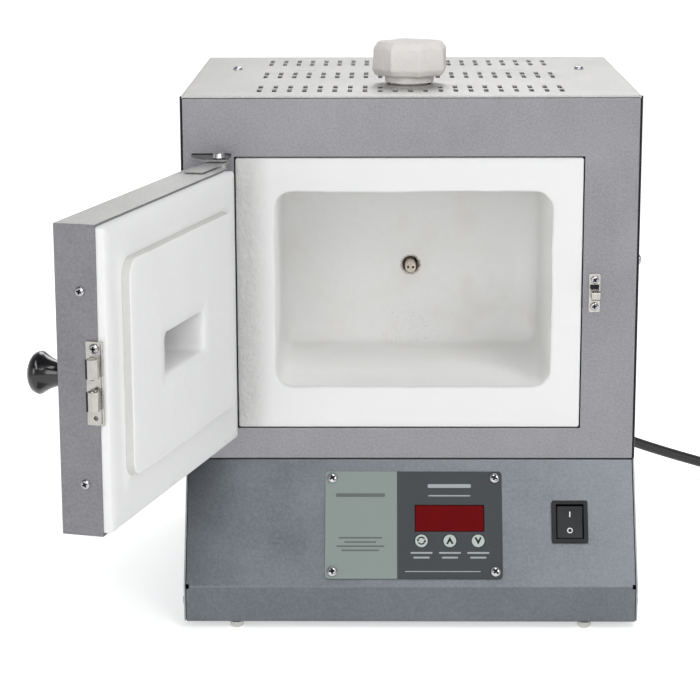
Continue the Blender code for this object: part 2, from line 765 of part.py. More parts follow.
def make_vent_plug(group, ceramic):
    """The hand-shaped ceramic plug: eight-sided head, round neck and tapered stem."""
    stem = turned(((0, -PLUG_STEM_LENGTH), (PLUG_STEM_TIP_RADIUS, -PLUG_STEM_LENGTH),
                   (PLUG_STEM_TOP_RADIUS, FIT), (PLUG_NECK_RADIUS * 0.97, FIT),
                   (PLUG_NECK_RADIUS, PLUG_NECK_HEIGHT), (PLUG_NECK_RADIUS, PLUG_NECK_HEIGHT * 2),
                   (0, PLUG_NECK_HEIGHT * 2)), 24)
    plug = piece("vent_plug", group, ceramic, stem, (0, VENT_Y, TOP_Z), smooth=True)
    wide, deep = PLUG_HEAD_ACROSS / 2, PLUG_HEAD_DEPTH / 2
    shoulder = 0.42
    outline = [(wide, -deep * shoulder), (wide, deep * shoulder), (wide * shoulder, deep),
               (-wide * shoulder, deep), (-wide, deep * shoulder), (-wide, -deep * shoulder),
               (-wide * shoulder, -deep), (wide * shoulder, -deep)]
    levels = ((PLUG_NECK_HEIGHT, 0.90), (PLUG_NECK_HEIGHT + PLUG_HEAD_BEVEL, 1.0),
              (PLUG_NECK_HEIGHT + PLUG_HEAD_HEIGHT - PLUG_HEAD_BEVEL, 0.96),
              (PLUG_NECK_HEIGHT + PLUG_HEAD_HEIGHT, 0.84))
    head = bmesh.new()
    rings = [[head.verts.new((x * grow, y * grow, z)) for x, y in outline] for z, grow in levels]
    for below, above in zip(rings, rings[1:]):
        for i in range(len(outline)):
            j = (i + 1) % len(outline)
            head.faces.new((below[i], below[j], above[j], above[i]))
    head.faces.new(rings[0])
    head.faces.new(rings[-1])
    head.transform(Matrix.Rotation(PLUG_TURN, 4, "Z"))
    join(plug, head, place=(0, VENT_Y, TOP_Z))


# --------------------------------------------------------------- case hinge side


def make_hinges(group, door, steel, panel):
    """For each hinge: a leaf from the case, an arm on the door, and the bolt they turn on."""
    slots = []
    levels = (("top", 1, DOOR_TOP_Z), ("bottom", -1, DOOR_Z))
    for name, up, edge in levels:
        arm_near = edge + up * FIT
        arm_far = arm_near + up * ARM
        leaf_near = arm_far + up * FIT
        leaf_far = leaf_near + up * LEAF
        nose = LEAF_NOSE
        outline = (
            (-LEAF_LEFT, LEAF_INSIDE - HINGE_Y), (-LEAF_LEFT, nose), (-LEAF_RIGHT - nose * 0.4, -nose),
            (LEAF_RIGHT, -nose), (LEAF_RIGHT, LEAF_INSIDE - HINGE_Y),
        )
        leaf = piece(f"hinge_leaf_{name}", group, steel,
                     prism(outline, "Z", *sorted((leaf_near, leaf_far))), (HINGE_X, HINGE_Y, 0))
        bore = PIN_RADIUS + PIN_CLEARANCE
        cut(leaf, rod((0, 0, min(leaf_near, leaf_far) - CUT_MARGIN), "+Z", bore,
                      LEAF + 2 * CUT_MARGIN, 16), place=(HINGE_X, HINGE_Y, 0))
        outline = arc((0, 0), ARM_HALF_WIDTH, 90, 270, 8)
        outline += [(ARM_LENGTH, -ARM_HALF_WIDTH), (ARM_LENGTH, ARM_HALF_WIDTH)]
        arm = piece(f"hinge_arm_{name}", door, steel,
                    prism(outline, "Z", *sorted((arm_near, arm_far))))
        cut(arm, rod((0, 0, min(arm_near, arm_far) - CUT_MARGIN), "+Z", bore,
                     ARM + 2 * CUT_MARGIN, 16))
        head_near = leaf_far + up * FIT
        profile = (
            (0, -PIN_NUT_HEIGHT), (PIN_HEAD_RADIUS, -PIN_NUT_HEIGHT), (PIN_HEAD_RADIUS, 0),
            (PIN_RADIUS, 0), (PIN_RADIUS, up * (head_near - edge)),
            (PIN_HEAD_RADIUS, up * (head_near - edge)),
            (PIN_HEAD_RADIUS * 0.8, up * (head_near - edge) + PIN_HEAD_HEIGHT),
            (0, up * (head_near - edge) + PIN_HEAD_HEIGHT),
        )
        aim = "+Z" if up > 0 else "-Z"
        piece(f"hinge_pin_{name}", group, steel, placed(turned(profile, 12), (0, 0, 0), aim),
              (HINGE_X, HINGE_Y, edge), smooth=True)
        low = (HINGE_X - LEAF_LEFT - FIT, -CUT_MARGIN, min(leaf_near, leaf_far) - FIT)
        high = (HINGE_X + LEAF_RIGHT + FIT, SHEET + CUT_MARGIN, max(leaf_near, leaf_far) + FIT)
        slots.append(box(low, high))
    cut(panel, *slots)


# ---------------------------------------------------------------------- the door


def in_door(point):
    """A point of the closed door, counted from the hinge line."""
    return (point[0] - HINGE_X, point[1] - HINGE_Y, point[2])


def door_box(low, high):
    """A block in the closed door."""
    return box(in_door(low), in_door(high))


def window_outline(grow, radius):
    """The door window's outline, or a larger one round it."""
    centre = in_door((DOOR_LEFT + DOOR_LENGTH / 2, 0, DOOR_Z + DOOR_HEIGHT / 2))
    size = (WINDOW_WIDTH + 2 * grow, WINDOW_HEIGHT + 2 * grow)
    return rounded_rectangle((centre[0], centre[2]), size, radius, 3)


def make_door_shell(door, steel):
    """The folded steel pan, open towards the kiln."""
    low = (DOOR_LEFT, DOOR_OUTER_Y, DOOR_Z)
    high = (DOOR_RIGHT, PAN_EDGE_Y, DOOR_TOP_Z)
    pan = piece("door_pan", door, steel, door_box(low, high))
    inner_low = (low[0] + SHEET, low[1] + SHEET, low[2] + SHEET)
    inner_high = (high[0] - SHEET, high[1] + CUT_MARGIN, high[2] - SHEET)
    cut(pan, door_box(inner_low, inner_high))
    outer = DOOR_OUTER_Y - HINGE_Y
    cut(pan, prism(window_outline(-FIT, WINDOW_RADIUS), "Y", outer - CUT_MARGIN,
                   outer + SHEET + CUT_MARGIN))
    return pan


def make_door_insulation(door, fibre):
    """The fibre board that fills the pan, with the raised pad that enters the chamber."""
    inset = SHEET + FIT
    low = (DOOR_LEFT + inset, DOOR_OUTER_Y + inset, DOOR_Z + inset)
    high = (DOOR_RIGHT - inset, DOOR_INNER_Y, DOOR_TOP_Z - inset)
    board = piece("door_insulation", door, fibre, door_box(low, high))
    centre = in_door((CAVITY_CENTRE_X, 0, CAVITY_Z + CAVITY_HEIGHT / 2))
    size = (CAVITY_WIDTH - 2 * DOOR_PLUG_CLEARANCE, CAVITY_HEIGHT - 2 * DOOR_PLUG_CLEARANCE)
    face = DOOR_INNER_Y - HINGE_Y
    pad = prism(rounded_rectangle((centre[0], centre[2]), size, DOOR_PLUG_RADIUS), "Y",
                face - CUT_MARGIN, face + DOOR_PLUG_HEIGHT)
    join(board, pad)
    outer = low[1] - HINGE_Y
    cut(board, prism(window_outline(0, WINDOW_RADIUS), "Y", outer - CUT_MARGIN,
                     face + DOOR_PLUG_HEIGHT + CUT_MARGIN))
    cut(board, prism(window_outline(PANE_MARGIN + FIT, FIT), "Y", outer - CUT_MARGIN,
                     outer + PANE_THICKNESS + FIT))
    return board


def make_door_window(door, glass, steel):
    """The pane behind the pan's opening, and the frame round the opening outside."""
    pane_y = DOOR_OUTER_Y + SHEET + FIT - HINGE_Y
    piece("door_window", door, glass,
          prism(window_outline(PANE_MARGIN, FIT), "Y", pane_y, pane_y + PANE_THICKNESS))
    face = DOOR_OUTER_Y - FIT - HINGE_Y
    frame = piece("window_frame", door, steel,
                  prism(window_outline(FRAME_MARGIN, WINDOW_RADIUS), "Y",
                        face - FRAME_THICKNESS, face))
    cut(frame, prism(window_outline(-2 * FIT, WINDOW_RADIUS), "Y",
                     face - FRAME_THICKNESS - CUT_MARGIN, face + CUT_MARGIN))


def make_door_knob(door, phenolic, metal, pan, board):
    """The flared knob outside and the screw that holds it from inside the pan."""
    height = SEAM_Z + KNOB_ABOVE_SEAM
    place = in_door((DOOR_LEFT + KNOB_FROM_HINGE_END, DOOR_OUTER_Y - FIT, height))
    profile = [
        (0, KNOB_BORE_DEPTH), (KNOB_BORE_RADIUS, KNOB_BORE_DEPTH), (KNOB_BORE_RADIUS, 0),
        (KNOB_NECK_RADIUS, 0), (KNOB_NECK_RADIUS, KNOB_RIM_HEIGHT * 0.40),
        (KNOB_NECK_RADIUS * 1.16, KNOB_RIM_HEIGHT * 0.62),
        (KNOB_NECK_RADIUS * 1.45, KNOB_RIM_HEIGHT * 0.82), (KNOB_RIM_RADIUS, KNOB_RIM_HEIGHT),
    ]
    dome = KNOB_HEIGHT - KNOB_RIM_HEIGHT
    for share in (0.75, 0.45, 0):
        lift = math.sqrt(1 - share ** 2)
        profile.append((KNOB_RIM_RADIUS * share, KNOB_RIM_HEIGHT + dome * lift))
    piece("door_knob", door, phenolic, placed(turned(profile, 20), (0, 0, 0), "-Y"), place,
          smooth=True)
    grip = KNOB_BORE_DEPTH - 2 * FIT
    base = -SHEET - 2 * FIT
    profile = (
        (0, base - STUD_HEAD_HEIGHT), (STUD_HEAD_RADIUS, base - STUD_HEAD_HEIGHT),
        (STUD_HEAD_RADIUS, base), (STUD_RADIUS, base), (STUD_RADIUS, grip), (0, grip),
    )
    piece("knob_screw", door, metal, placed(turned(profile, 12), (0, 0, 0), "-Y"), place,
          smooth=True)
    start = (place[0], place[1] - CUT_MARGIN, place[2])
    cut(pan, rod(start, "+Y", STUD_RADIUS + FIT, SHEET + 3 * CUT_MARGIN, 12))
    depth = STUD_HEAD_HEIGHT + SHEET + 4 * FIT + CUT_MARGIN
    cut(board, rod(start, "+Y", STUD_HEAD_RADIUS + FIT, depth, 12))


def make_catch(door, balls, steel, metal, pan, board):
    """Plate and two barrels on the door's end, each with a ball, spring and adjuster."""
    half = CATCH_LENGTH / 2
    inner_y = LATCH_Y + CATCH_WIDTH / 2
    low = (CATCH_X, inner_y - CATCH_WIDTH, LATCH_Z - half)
    high = (CATCH_X + CATCH_PLATE, inner_y, LATCH_Z + half)
    body = piece("catch_body", door, steel, door_box(low, high))
    near = BARREL_GAP / 2
    for side, aim in ((1, "+Z"), (-1, "-Z")):
        start = in_door((BARREL_X, LATCH_Y, LATCH_Z + side * near))
        barrel = prism(polygon(8, BARREL_RADIUS, turn=math.pi / 8), "Z", 0, BARREL_LENGTH)
        join(body, placed(barrel, start, aim))
    through = BARREL_GAP / 2 + BARREL_LENGTH + CUT_MARGIN
    start = in_door((BARREL_X, LATCH_Y, LATCH_Z - through))
    cut(body, rod(start, "+Z", BARREL_BORE_RADIUS, 2 * through, 12))
    ball_height = near + BALL_RADIUS - BALL_PROUD
    for name, side, group, aim in (("upper", 1, balls[0], "+Z"), ("lower", -1, balls[1], "-Z")):
        profile = [(BALL_RADIUS * math.sin(math.radians(a)), -BALL_RADIUS * math.cos(math.radians(a)))
                   for a in (0, 30, 60, 90, 120, 150, 180)]
        profile[0], profile[-1] = (0, -BALL_RADIUS), (0, BALL_RADIUS)
        piece(f"catch_ball_{name}", group, metal, turned(profile, 12), smooth=True)
        spring_low = ball_height + BALL_RADIUS + FIT
        adjuster = near + BARREL_LENGTH - ADJUSTER_LENGTH
        spring_high = adjuster - FIT
        points = []
        steps = SPRING_TURNS * 8
        for k in range(steps + 1):
            angle = 2 * math.pi * k / 8
            rise = spring_low + SPRING_WIRE + (spring_high - spring_low - 2 * SPRING_WIRE) * k / steps
            points.append((SPRING_RADIUS * math.cos(angle), SPRING_RADIUS * math.sin(angle),
                           side * rise))
        centre = in_door((BARREL_X, LATCH_Y, LATCH_Z))
        wire(f"catch_spring_{name}", door, metal, points, SPRING_WIRE, 0, centre)
        place = in_door((BARREL_X, LATCH_Y, LATCH_Z + side * adjuster))
        piece(f"catch_adjuster_{name}", door, metal,
              rod((0, 0, 0), aim, BARREL_BORE_RADIUS - FIT, ADJUSTER_LENGTH, 12), place, smooth=True)
    hole_height = half - CATCH_SCREW_FROM_END
    place = in_door((CATCH_X + CATCH_PLATE, LATCH_Y, LATCH_Z + hole_height))
    screw("catch_screw", door, metal, CATCH_SCREW, place, (body, pan, board))
    place = in_door((CATCH_X - CUT_MARGIN, LATCH_Y, LATCH_Z - hole_height))
    cut(body, rod(place, "+X", CATCH_SCREW[2], CATCH_PLATE + 2 * CUT_MARGIN, 12))


def make_strike(group, steel):
    """The plate and notched tongue on the front panel that the balls grip."""
    left = CATCH_X + STRIKE_CLEARANCE
    centre_x = left + STRIKE_WIDTH / 2
    face = -FIT - STRIKE_PLATE
    outline = rounded_rectangle((centre_x, LATCH_Z), (STRIKE_WIDTH, STRIKE_LENGTH), 0.0012, 2)
    plate = piece("strike_plate", group, steel, prism(outline, "Y", face, -FIT))
    notch_near = LATCH_Y + TONGUE_NECK_HALF_LENGTH
    notch_far = LATCH_Y - TONGUE_NECK_HALF_LENGTH
    tip = notch_far - TONGUE_HEAD_LENGTH
    half, neck, nose = TONGUE_HALF_HEIGHT, TONGUE_NECK_HALF_HEIGHT, TONGUE_CHAMFER
    upper = [(face + STRIKE_PLATE / 2, half), (notch_near, half), (notch_near, neck), (notch_far, neck),
             (notch_far, half), (tip + nose, half), (tip, half - nose)]
    outline = [(y, LATCH_Z + z) for y, z in upper]
    outline += [(y, LATCH_Z - z) for y, z in reversed(upper)]
    join(plate, prism(outline, "X", BARREL_X - TONGUE_WIDTH / 2, BARREL_X + TONGUE_WIDTH / 2))
    slot = (centre_x, face, LATCH_Z + half + STRIKE_SLOT[1])
    cut(plate, centred_box(slot, (STRIKE_SLOT[0], 4 * STRIKE_PLATE, STRIKE_SLOT[1])))


# ------------------------------------------------------------------ the controls


def make_control_panel(fascia, chassis, finishes):
    """Faceplate, display and its lens, circuit board and corner screws, on the slope."""
    centre = (PLATE_CENTRE_X, PLATE_CENTRE_Y)
    outline = rounded_rectangle(centre, (PLATE_WIDTH, PLATE_HEIGHT), PLATE_RADIUS, 2)
    plate = piece("faceplate", fascia, finishes["faceplate"],
                  prism(outline, "Z", FIT, FIT + PLATE_THICKNESS))
    holes = [centred_box((*WINDOW_PLACE, FIT), (*WINDOW_SIZE, 4 * PLATE_THICKNESS))]
    for x in KEY_PLACES:
        holes.append(rod((x, KEY_ROW, -CUT_MARGIN), "+Z", KEY_RADIUS + FIT,
                         PLATE_THICKNESS + 3 * CUT_MARGIN, 20))
    cut(plate, *holes)
    cut(chassis, centred_box((*centre, -SHEET / 2), (*FASCIA_HOLE, 4 * SHEET)), group=fascia)
    lens = [side - 2 * FIT for side in WINDOW_SIZE]
    top = FIT + PLATE_THICKNESS - LENS_SINK
    piece("display_window", fascia, finishes["lens"], box((-lens[0] / 2, -lens[1] / 2, FIT),
                                                          (lens[0] / 2, lens[1] / 2, top)),
          (*WINDOW_PLACE, 0))
    piece("display_module", fascia, finishes["black"],
          box((-lens[0] / 2, -lens[1] / 2, -MODULE_DEPTH), (lens[0] / 2, lens[1] / 2, 0)),
          (*WINDOW_PLACE, 0))
    board_top = -KEY_STEM_DEPTH - KEY_TRAVEL - FIT
    piece("circuit_board", fascia, finishes["board"],
          box((-BOARD_SIZE[0] / 2, -BOARD_SIZE[1] / 2, board_top - CIRCUIT_THICKNESS),
              (BOARD_SIZE[0] / 2, BOARD_SIZE[1] / 2, board_top)), (*centre, 0))


def make_keys(fascia, finish):
    """Three push keys, each with its origin on its own line of travel."""
    face = FIT + PLATE_THICKNESS
    shoulder = -SHEET
    profile = (
        (0, -KEY_STEM_DEPTH), (KEY_STEM_RADIUS, -KEY_STEM_DEPTH), (KEY_STEM_RADIUS, shoulder),
        (KEY_RADIUS, shoulder), (KEY_RADIUS, face + KEY_PROUD * 0.5),
        (KEY_RADIUS * 0.93, face + KEY_PROUD), (0, face + KEY_PROUD),
    )
    for name, x in zip(("start", "up", "down"), KEY_PLACES):
        piece(f"key_{name}", fascia, finish, turned(profile, 20), (x, KEY_ROW, 0), smooth=True)


def make_switch(fascia, chassis, plastic, rocker_finish):
    """The power switch's bezel and body, and the rocker on its own pivot."""
    centre = (*SWITCH_PLACE, 0)
    flange = rounded_rectangle((0, 0), BEZEL_SIZE, 0.0012, 2)
    bezel = piece("switch_bezel", fascia, plastic, prism(flange, "Z", FIT, FIT + BEZEL_THICKNESS),
                  centre)
    join(bezel, centred_box((0, 0, (FIT + CUT_MARGIN - SWITCH_DEPTH) / 2),
                            (*SWITCH_BODY, SWITCH_DEPTH + FIT + CUT_MARGIN)), place=centre)
    top = FIT + BEZEL_THICKNESS + CUT_MARGIN
    cut(bezel, centred_box((0, 0, (top - POCKET_DEPTH) / 2), (*POCKET_SIZE, top + POCKET_DEPTH)),
        place=centre)
    hole = [side + 2 * FIT for side in SWITCH_BODY]
    cut(chassis, centred_box((*SWITCH_PLACE, -SHEET / 2), (*hole, 4 * SHEET)), group=fascia)
    pivot = empty("rocker_axis", fascia, (*SWITCH_PLACE, -ROCKER_PIVOT_DEPTH))
    pivot.rotation_euler.x = ROCKER_TILT
    reach = ROCKER_HALF_LENGTH
    outline = (
        (reach, ROCKER_TIP), (0, ROCKER_WAIST), (-reach, ROCKER_TIP), (-reach, ROCKER_SKIRT),
        (-reach * 0.4, -ROCKER_ROOT), (reach * 0.4, -ROCKER_ROOT), (reach, ROCKER_SKIRT),
    )
    half = POCKET_SIZE[0] / 2 - ROCKER_SIDE_GAP
    piece("power_rocker", pivot, rocker_finish, prism(outline, "X", -half, half))


def make_base_electrics(group, finishes):
    """Relay, transformer and terminal strip on the base's bottom."""
    floor = FOOT_HEIGHT + SHEET + FIT
    wide, deep, tall = RELAY_SIZE
    relay = piece("relay", group, finishes["black"],
                  box((-wide / 2, -deep / 2, 0), (wide / 2, deep / 2, tall)), (*RELAY_PLACE, floor))
    ear = centred_box((0, 0, 0.002), (wide + 0.014, deep * 0.5, 0.004))
    join(relay, ear, place=(*RELAY_PLACE, floor))
    wide, deep, tall = TRANSFORMER_SIZE
    core = piece("transformer", group, finishes["steel"],
                 box((-wide / 2, -deep * 0.3, 0), (wide / 2, deep * 0.3, tall)),
                 (*TRANSFORMER_PLACE, floor))
    coil = centred_box((0, 0, tall / 2), (wide * 0.6, deep, tall * 0.7))
    join(core, coil, place=(*TRANSFORMER_PLACE, floor))
    wide, deep, tall = TERMINAL_SIZE
    strip = piece("terminal_block", group, finishes["cream"],
                  box((-wide / 2, -deep / 2, 0), (wide / 2, deep / 2, tall)),
                  (*TERMINAL_PLACE, floor))
    way = wide / TERMINAL_WAYS
    wells = []
    for k in range(TERMINAL_WAYS):
        x = (k + 0.5) * way - wide / 2
        wells.append(centred_box((x, 0, tall), (way * 0.7, deep + 2 * CUT_MARGIN, tall * 0.8)))
    cut(strip, *wells, place=(*TERMINAL_PLACE, floor))


# ----------------------------------------------------------------------- the cord


def make_cord(group, chassis, rubber, plastic):
    """Strain relief, lead, coil, tail and plug of the mains cord."""
    exit_place = Vector((CORD_EXIT_X, CASE_DEPTH + FIT, CORD_EXIT_Z))
    back = SHEET + 2 * FIT
    profile = (
        (0, -RELIEF_INSIDE), (RELIEF_HOLE_RADIUS - FIT, -RELIEF_INSIDE),
        (RELIEF_HOLE_RADIUS - FIT, 0), (RELIEF_FLANGE_RADIUS, 0),
        (RELIEF_FLANGE_RADIUS, RELIEF_FLANGE), (RELIEF_HOLE_RADIUS, RELIEF_FLANGE),
        (RELIEF_TIP_RADIUS, RELIEF_LENGTH), (0, RELIEF_LENGTH),
    )
    piece("strain_relief", group, plastic, placed(turned(profile, 16), (0, 0, 0), "+Y"),
          exit_place, smooth=True)
    cut(chassis, rod(exit_place - Vector((0, back + CUT_MARGIN, 0)), "+Y", RELIEF_HOLE_RADIUS,
                     back + 2 * CUT_MARGIN, 16))

    lead_start = exit_place + Vector((0, RELIEF_LENGTH + CORD_GAP, 0))
    route = smooth_path(CORD_ROUTE, CORD_STEP)
    wire("cord_lead", group, rubber, route, CORD_RADIUS, 2, lead_start)

    # The lead's last point touches the coil's outside on its way to the turns' middle line.
    half_across = CORD_RADIUS * COIL_TURNS_ACROSS
    outer = COIL_MEAN_RADIUS + half_across
    entry = outer - CORD_RADIUS
    reach = math.sqrt((outer + CORD_RADIUS + CORD_GAP) ** 2 - entry ** 2)
    end = lead_start + route[-1]
    centre = end + Vector((reach, -entry, 0))
    centre.z = 0
    height = 2 * CORD_RADIUS * COIL_TURNS_HIGH
    inner = COIL_MEAN_RADIUS - half_across
    nose = COIL_SECTION_BEVEL
    section = ((inner + nose, 0), (outer - nose, 0), (outer, nose), (outer, height - nose),
               (outer - nose, height), (inner + nose, height), (inner, height - nose), (inner, nose))
    piece("cord_coil", group, rubber, turned(section, 24, closed=True), centre, smooth=True)

    # The tail leaves the top turn inwards and meets the plug that lies on the coil.
    axis_z = height + FIT + PLUG_GRIP[2] / 2
    start = Vector((TAIL_START[0], TAIL_START[1], height + CORD_RADIUS + FIT))
    tail = []
    steps = 6
    for k in range(steps + 1):
        angle = math.radians(90 * k / steps)
        x = start.x - TAIL_BEND + TAIL_BEND * math.cos(angle)
        y = start.y - TAIL_BEND * math.sin(angle)
        rise = (axis_z - start.z) * (0.5 - 0.5 * math.cos(math.pi * k / steps))
        tail.append((x, y, start.z + rise))
    wire("cord_tail", group, rubber, tail, CORD_RADIUS, 2, centre)
    plug_place = centre + Vector((start.x - TAIL_BEND - CORD_GAP, start.y - TAIL_BEND, axis_z))
    length, wide, tall = PLUG_GRIP
    profile = ((0, 0), (PLUG_SLEEVE_RADIUS * 0.9, 0), (PLUG_SLEEVE_RADIUS * 1.3, PLUG_SLEEVE_LENGTH),
               (PLUG_SLEEVE_RADIUS * 1.3, PLUG_SLEEVE_LENGTH + length / 2),
               (0, PLUG_SLEEVE_LENGTH + length / 2))
    plug = piece("mains_plug", group, plastic, placed(turned(profile, 12), (0, 0, 0), "-X"),
                 plug_place, smooth=True)
    face = -PLUG_SLEEVE_LENGTH - length
    grip = box((face, -wide / 2, -tall / 2), (-PLUG_SLEEVE_LENGTH, wide / 2, tall / 2))
    blades = []
    for side in (-1, 1):
        middle = side * BLADE_SPACING / 2
        low = (face - BLADE_SIZE[0], middle - BLADE_SIZE[1] / 2, -0.002)
        high = (face + CUT_MARGIN, middle + BLADE_SIZE[1] / 2, -0.002 + BLADE_SIZE[2])
        blades.append(box(low, high))
    start = (face + CUT_MARGIN, 0, -0.0075)
    pin = rod(start, "-X", GROUND_PIN_RADIUS, BLADE_SIZE[0] + CUT_MARGIN, 10)
    join(plug, grip, *blades, pin, place=plug_place)


# ------------------------------------------------------------------- assembling


def make_kiln():
    """Builds every sub-part and returns the empty that carries the whole kiln."""
    steel = surface("zinc_steel", (0.52, 0.53, 0.55), 0.42, 0.85)
    bright = surface("nickel_plate", (0.72, 0.71, 0.68), 0.28, 1.0)
    fibre = surface("ceramic_fibre", (0.90, 0.89, 0.87), 0.95)
    board_fibre = surface("fibre_board", (0.86, 0.84, 0.80), 0.95)
    ceramic = surface("fired_ceramic", (0.88, 0.84, 0.79), 0.60)
    black = surface("black_plastic", (0.03, 0.03, 0.03), 0.45)
    phenolic = surface("black_phenolic", (0.01, 0.01, 0.01), 0.20)
    cord_rubber = surface("cord_rubber", (0.02, 0.02, 0.02), 0.55)
    element = surface("element_sheath", (0.30, 0.27, 0.25), 0.55, 0.8)
    glass = surface("pane_glass", (0.85, 0.90, 0.88), 0.10)
    finishes = {
        "faceplate": surface("faceplate_grey", (0.30, 0.31, 0.32), 0.45),
        "lens": surface("red_lens", (0.25, 0.02, 0.02), 0.15),
        "board": surface("circuit_green", (0.05, 0.25, 0.12), 0.50),
        "cream": surface("terminal_cream", (0.75, 0.72, 0.62), 0.50),
        "black": black, "steel": steel, "screw": bright,
    }
    key_finish = surface("key_white", (0.85, 0.86, 0.85), 0.50)

    kiln = empty("kiln")
    make_case_wrap(kiln, steel)
    front = make_end_panel("front_panel", kiln, steel, 0, 1)
    make_end_panel("rear_panel", kiln, steel, CASE_DEPTH, -1)
    make_front_opening(front)
    chassis = make_base(kiln, steel)
    make_deck(kiln, steel)
    make_feet(kiln, bright, chassis)

    make_firing_block(kiln, fibre)
    make_boards(kiln, board_fibre)
    make_elements(kiln, element)
    make_thermocouple(kiln, ceramic, black)
    make_vent_plug(kiln, ceramic)

    door = empty("door_axis", kiln, (HINGE_X, HINGE_Y, 0))
    door.rotation_euler.z = -DOOR_OPEN
    make_hinges(kiln, door, steel, front)
    pan = make_door_shell(door, steel)
    board = make_door_insulation(door, fibre)
    make_door_window(door, glass, steel)
    make_door_knob(door, phenolic, bright, pan, board)
    ball_height = BARREL_GAP / 2 + BALL_RADIUS - BALL_PROUD
    balls = [empty(f"ball_axis_{name}", door, in_door((BARREL_X, LATCH_Y, LATCH_Z + side * ball_height)))
             for name, side in (("upper", 1), ("lower", -1))]
    make_catch(door, balls, bright, bright, pan, board)
    make_strike(kiln, bright)

    fascia = empty("fascia_frame", kiln, (0, -BASE_PROJECTION, BAND_TOP_Z))
    fascia.rotation_euler.x = SLOPE_ANGLE
    make_control_panel(fascia, chassis, finishes)
    make_keys(fascia, key_finish)
    make_switch(fascia, chassis, black, phenolic)
    make_base_electrics(kiln, finishes)
    make_cord(kiln, chassis, cord_rubber, black)
    return kiln


CORD_PARTS = ("cord_lead", "cord_coil", "cord_tail", "mains_plug")


def stand_on_origin(kiln):
    """Moves the kiln so the origin is at the bottom centre of all but the cord's parts."""
    bpy.context.view_layer.update()
    depsgraph = bpy.context.evaluated_depsgraph_get()
    low, high = Vector((1e9,) * 3), Vector((-1e9,) * 3)
    for obj in bpy.data.objects:
        if obj.type == "EMPTY" or obj.hide_render or obj.name in CORD_PARTS:
            continue
        shape = obj.evaluated_get(depsgraph)
        mesh = shape.to_mesh()
        for vertex in mesh.vertices:
            place = shape.matrix_world @ vertex.co
            low = Vector(map(min, low, place))
            high = Vector(map(max, high, place))
        shape.to_mesh_clear()
    kiln.location = (-(low.x + high.x) / 2, -(low.y + high.y) / 2, -low.z)


def main():
    """Builds the kiln in an empty scene."""
    clear_scene()
    stand_on_origin(make_kiln())


main()
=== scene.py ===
# %% [markdown]
# # A bench-top glass kiln
# A small electric kiln for glass and enamel: a zinc-coated steel case on a base with a
# sloping control panel, a chamber of white ceramic fibre, a hinged door with a window and
# a ceramic plug in the vent. The working model comes first and stays as it is. This script
# adds the looks: finishes for every piece, and finer pieces where the real one has soft
# edges, a hand-made shape or small fittings.

# %% Load the frame
import json
import math

import bmesh
import bpy
from mathutils import Matrix, Vector, noise


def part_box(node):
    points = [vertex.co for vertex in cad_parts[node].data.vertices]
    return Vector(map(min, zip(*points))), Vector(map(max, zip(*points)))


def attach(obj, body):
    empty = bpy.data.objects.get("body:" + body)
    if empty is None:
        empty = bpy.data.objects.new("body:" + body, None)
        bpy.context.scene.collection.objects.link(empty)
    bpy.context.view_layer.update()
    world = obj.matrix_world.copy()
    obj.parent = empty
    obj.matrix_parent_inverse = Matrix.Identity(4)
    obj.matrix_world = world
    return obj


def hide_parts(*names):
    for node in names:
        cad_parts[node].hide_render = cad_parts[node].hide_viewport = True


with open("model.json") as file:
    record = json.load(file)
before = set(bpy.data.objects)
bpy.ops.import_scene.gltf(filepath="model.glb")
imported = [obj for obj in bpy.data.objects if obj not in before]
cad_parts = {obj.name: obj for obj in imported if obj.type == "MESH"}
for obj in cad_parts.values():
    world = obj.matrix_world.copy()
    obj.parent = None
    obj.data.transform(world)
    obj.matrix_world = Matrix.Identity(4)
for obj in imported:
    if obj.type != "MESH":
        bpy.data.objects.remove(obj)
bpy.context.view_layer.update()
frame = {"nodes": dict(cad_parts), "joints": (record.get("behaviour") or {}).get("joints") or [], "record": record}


def placed(name, data):
    """A new object in the scene."""
    made = bpy.data.objects.new(name, data)
    bpy.context.scene.collection.objects.link(made)
    return made


def middle_of(box):
    """The point halfway between a box's two corners."""
    return Vector([(low + high) / 2 for low, high in zip(*box)])


def between(first, second, share):
    """The values part of the way from one set to another."""
    return [a + (b - a) * share for a, b in zip(first, second)]



# %% [markdown]
# ## The camera
# A long lens a metre and a half away keeps the case's edges nearly parallel. The camera stands a little above the
# top of the kiln and tips down, so that the cooling slots in the top show.

# %% Camera
CAMERA_PLACE = (0.0171, -1.5403, 0.5354)
CAMERA_PITCH = math.radians(-12.835)
CAMERA_TURN = math.radians(0.832)
CAMERA_ROLL = math.radians(-0.189)
CAMERA_LENS = 116.65

camera = placed("camera", bpy.data.cameras.new("camera"))
camera.data.lens = CAMERA_LENS
camera.matrix_world = (
    Matrix.Translation(CAMERA_PLACE)
    @ Matrix.Rotation(CAMERA_TURN, 4, "Z")
    @ Matrix.Rotation(math.pi / 2 + CAMERA_PITCH, 4, "X")
    @ Matrix.Rotation(CAMERA_ROLL, 4, "Z")
)
bpy.context.scene.camera = camera
print("camera lens:", CAMERA_LENS, "mm")

# %% [markdown]
# ## The mains cord
# The cord is a three-core lead 8.5 mm thick and 1.8 m long. It leaves a tapered strain
# relief at the back, bends right under its own weight and comes down to the table. What
# lies beyond the camera's view is wound into a neat round coil, two turns across and three
# high, and the plug rests on it. The route is a list of points that a Catmull-Rom curve
# passes through. The coil follows a small table of turn, radius and height, so that each
# turn lies beside or on the one before.

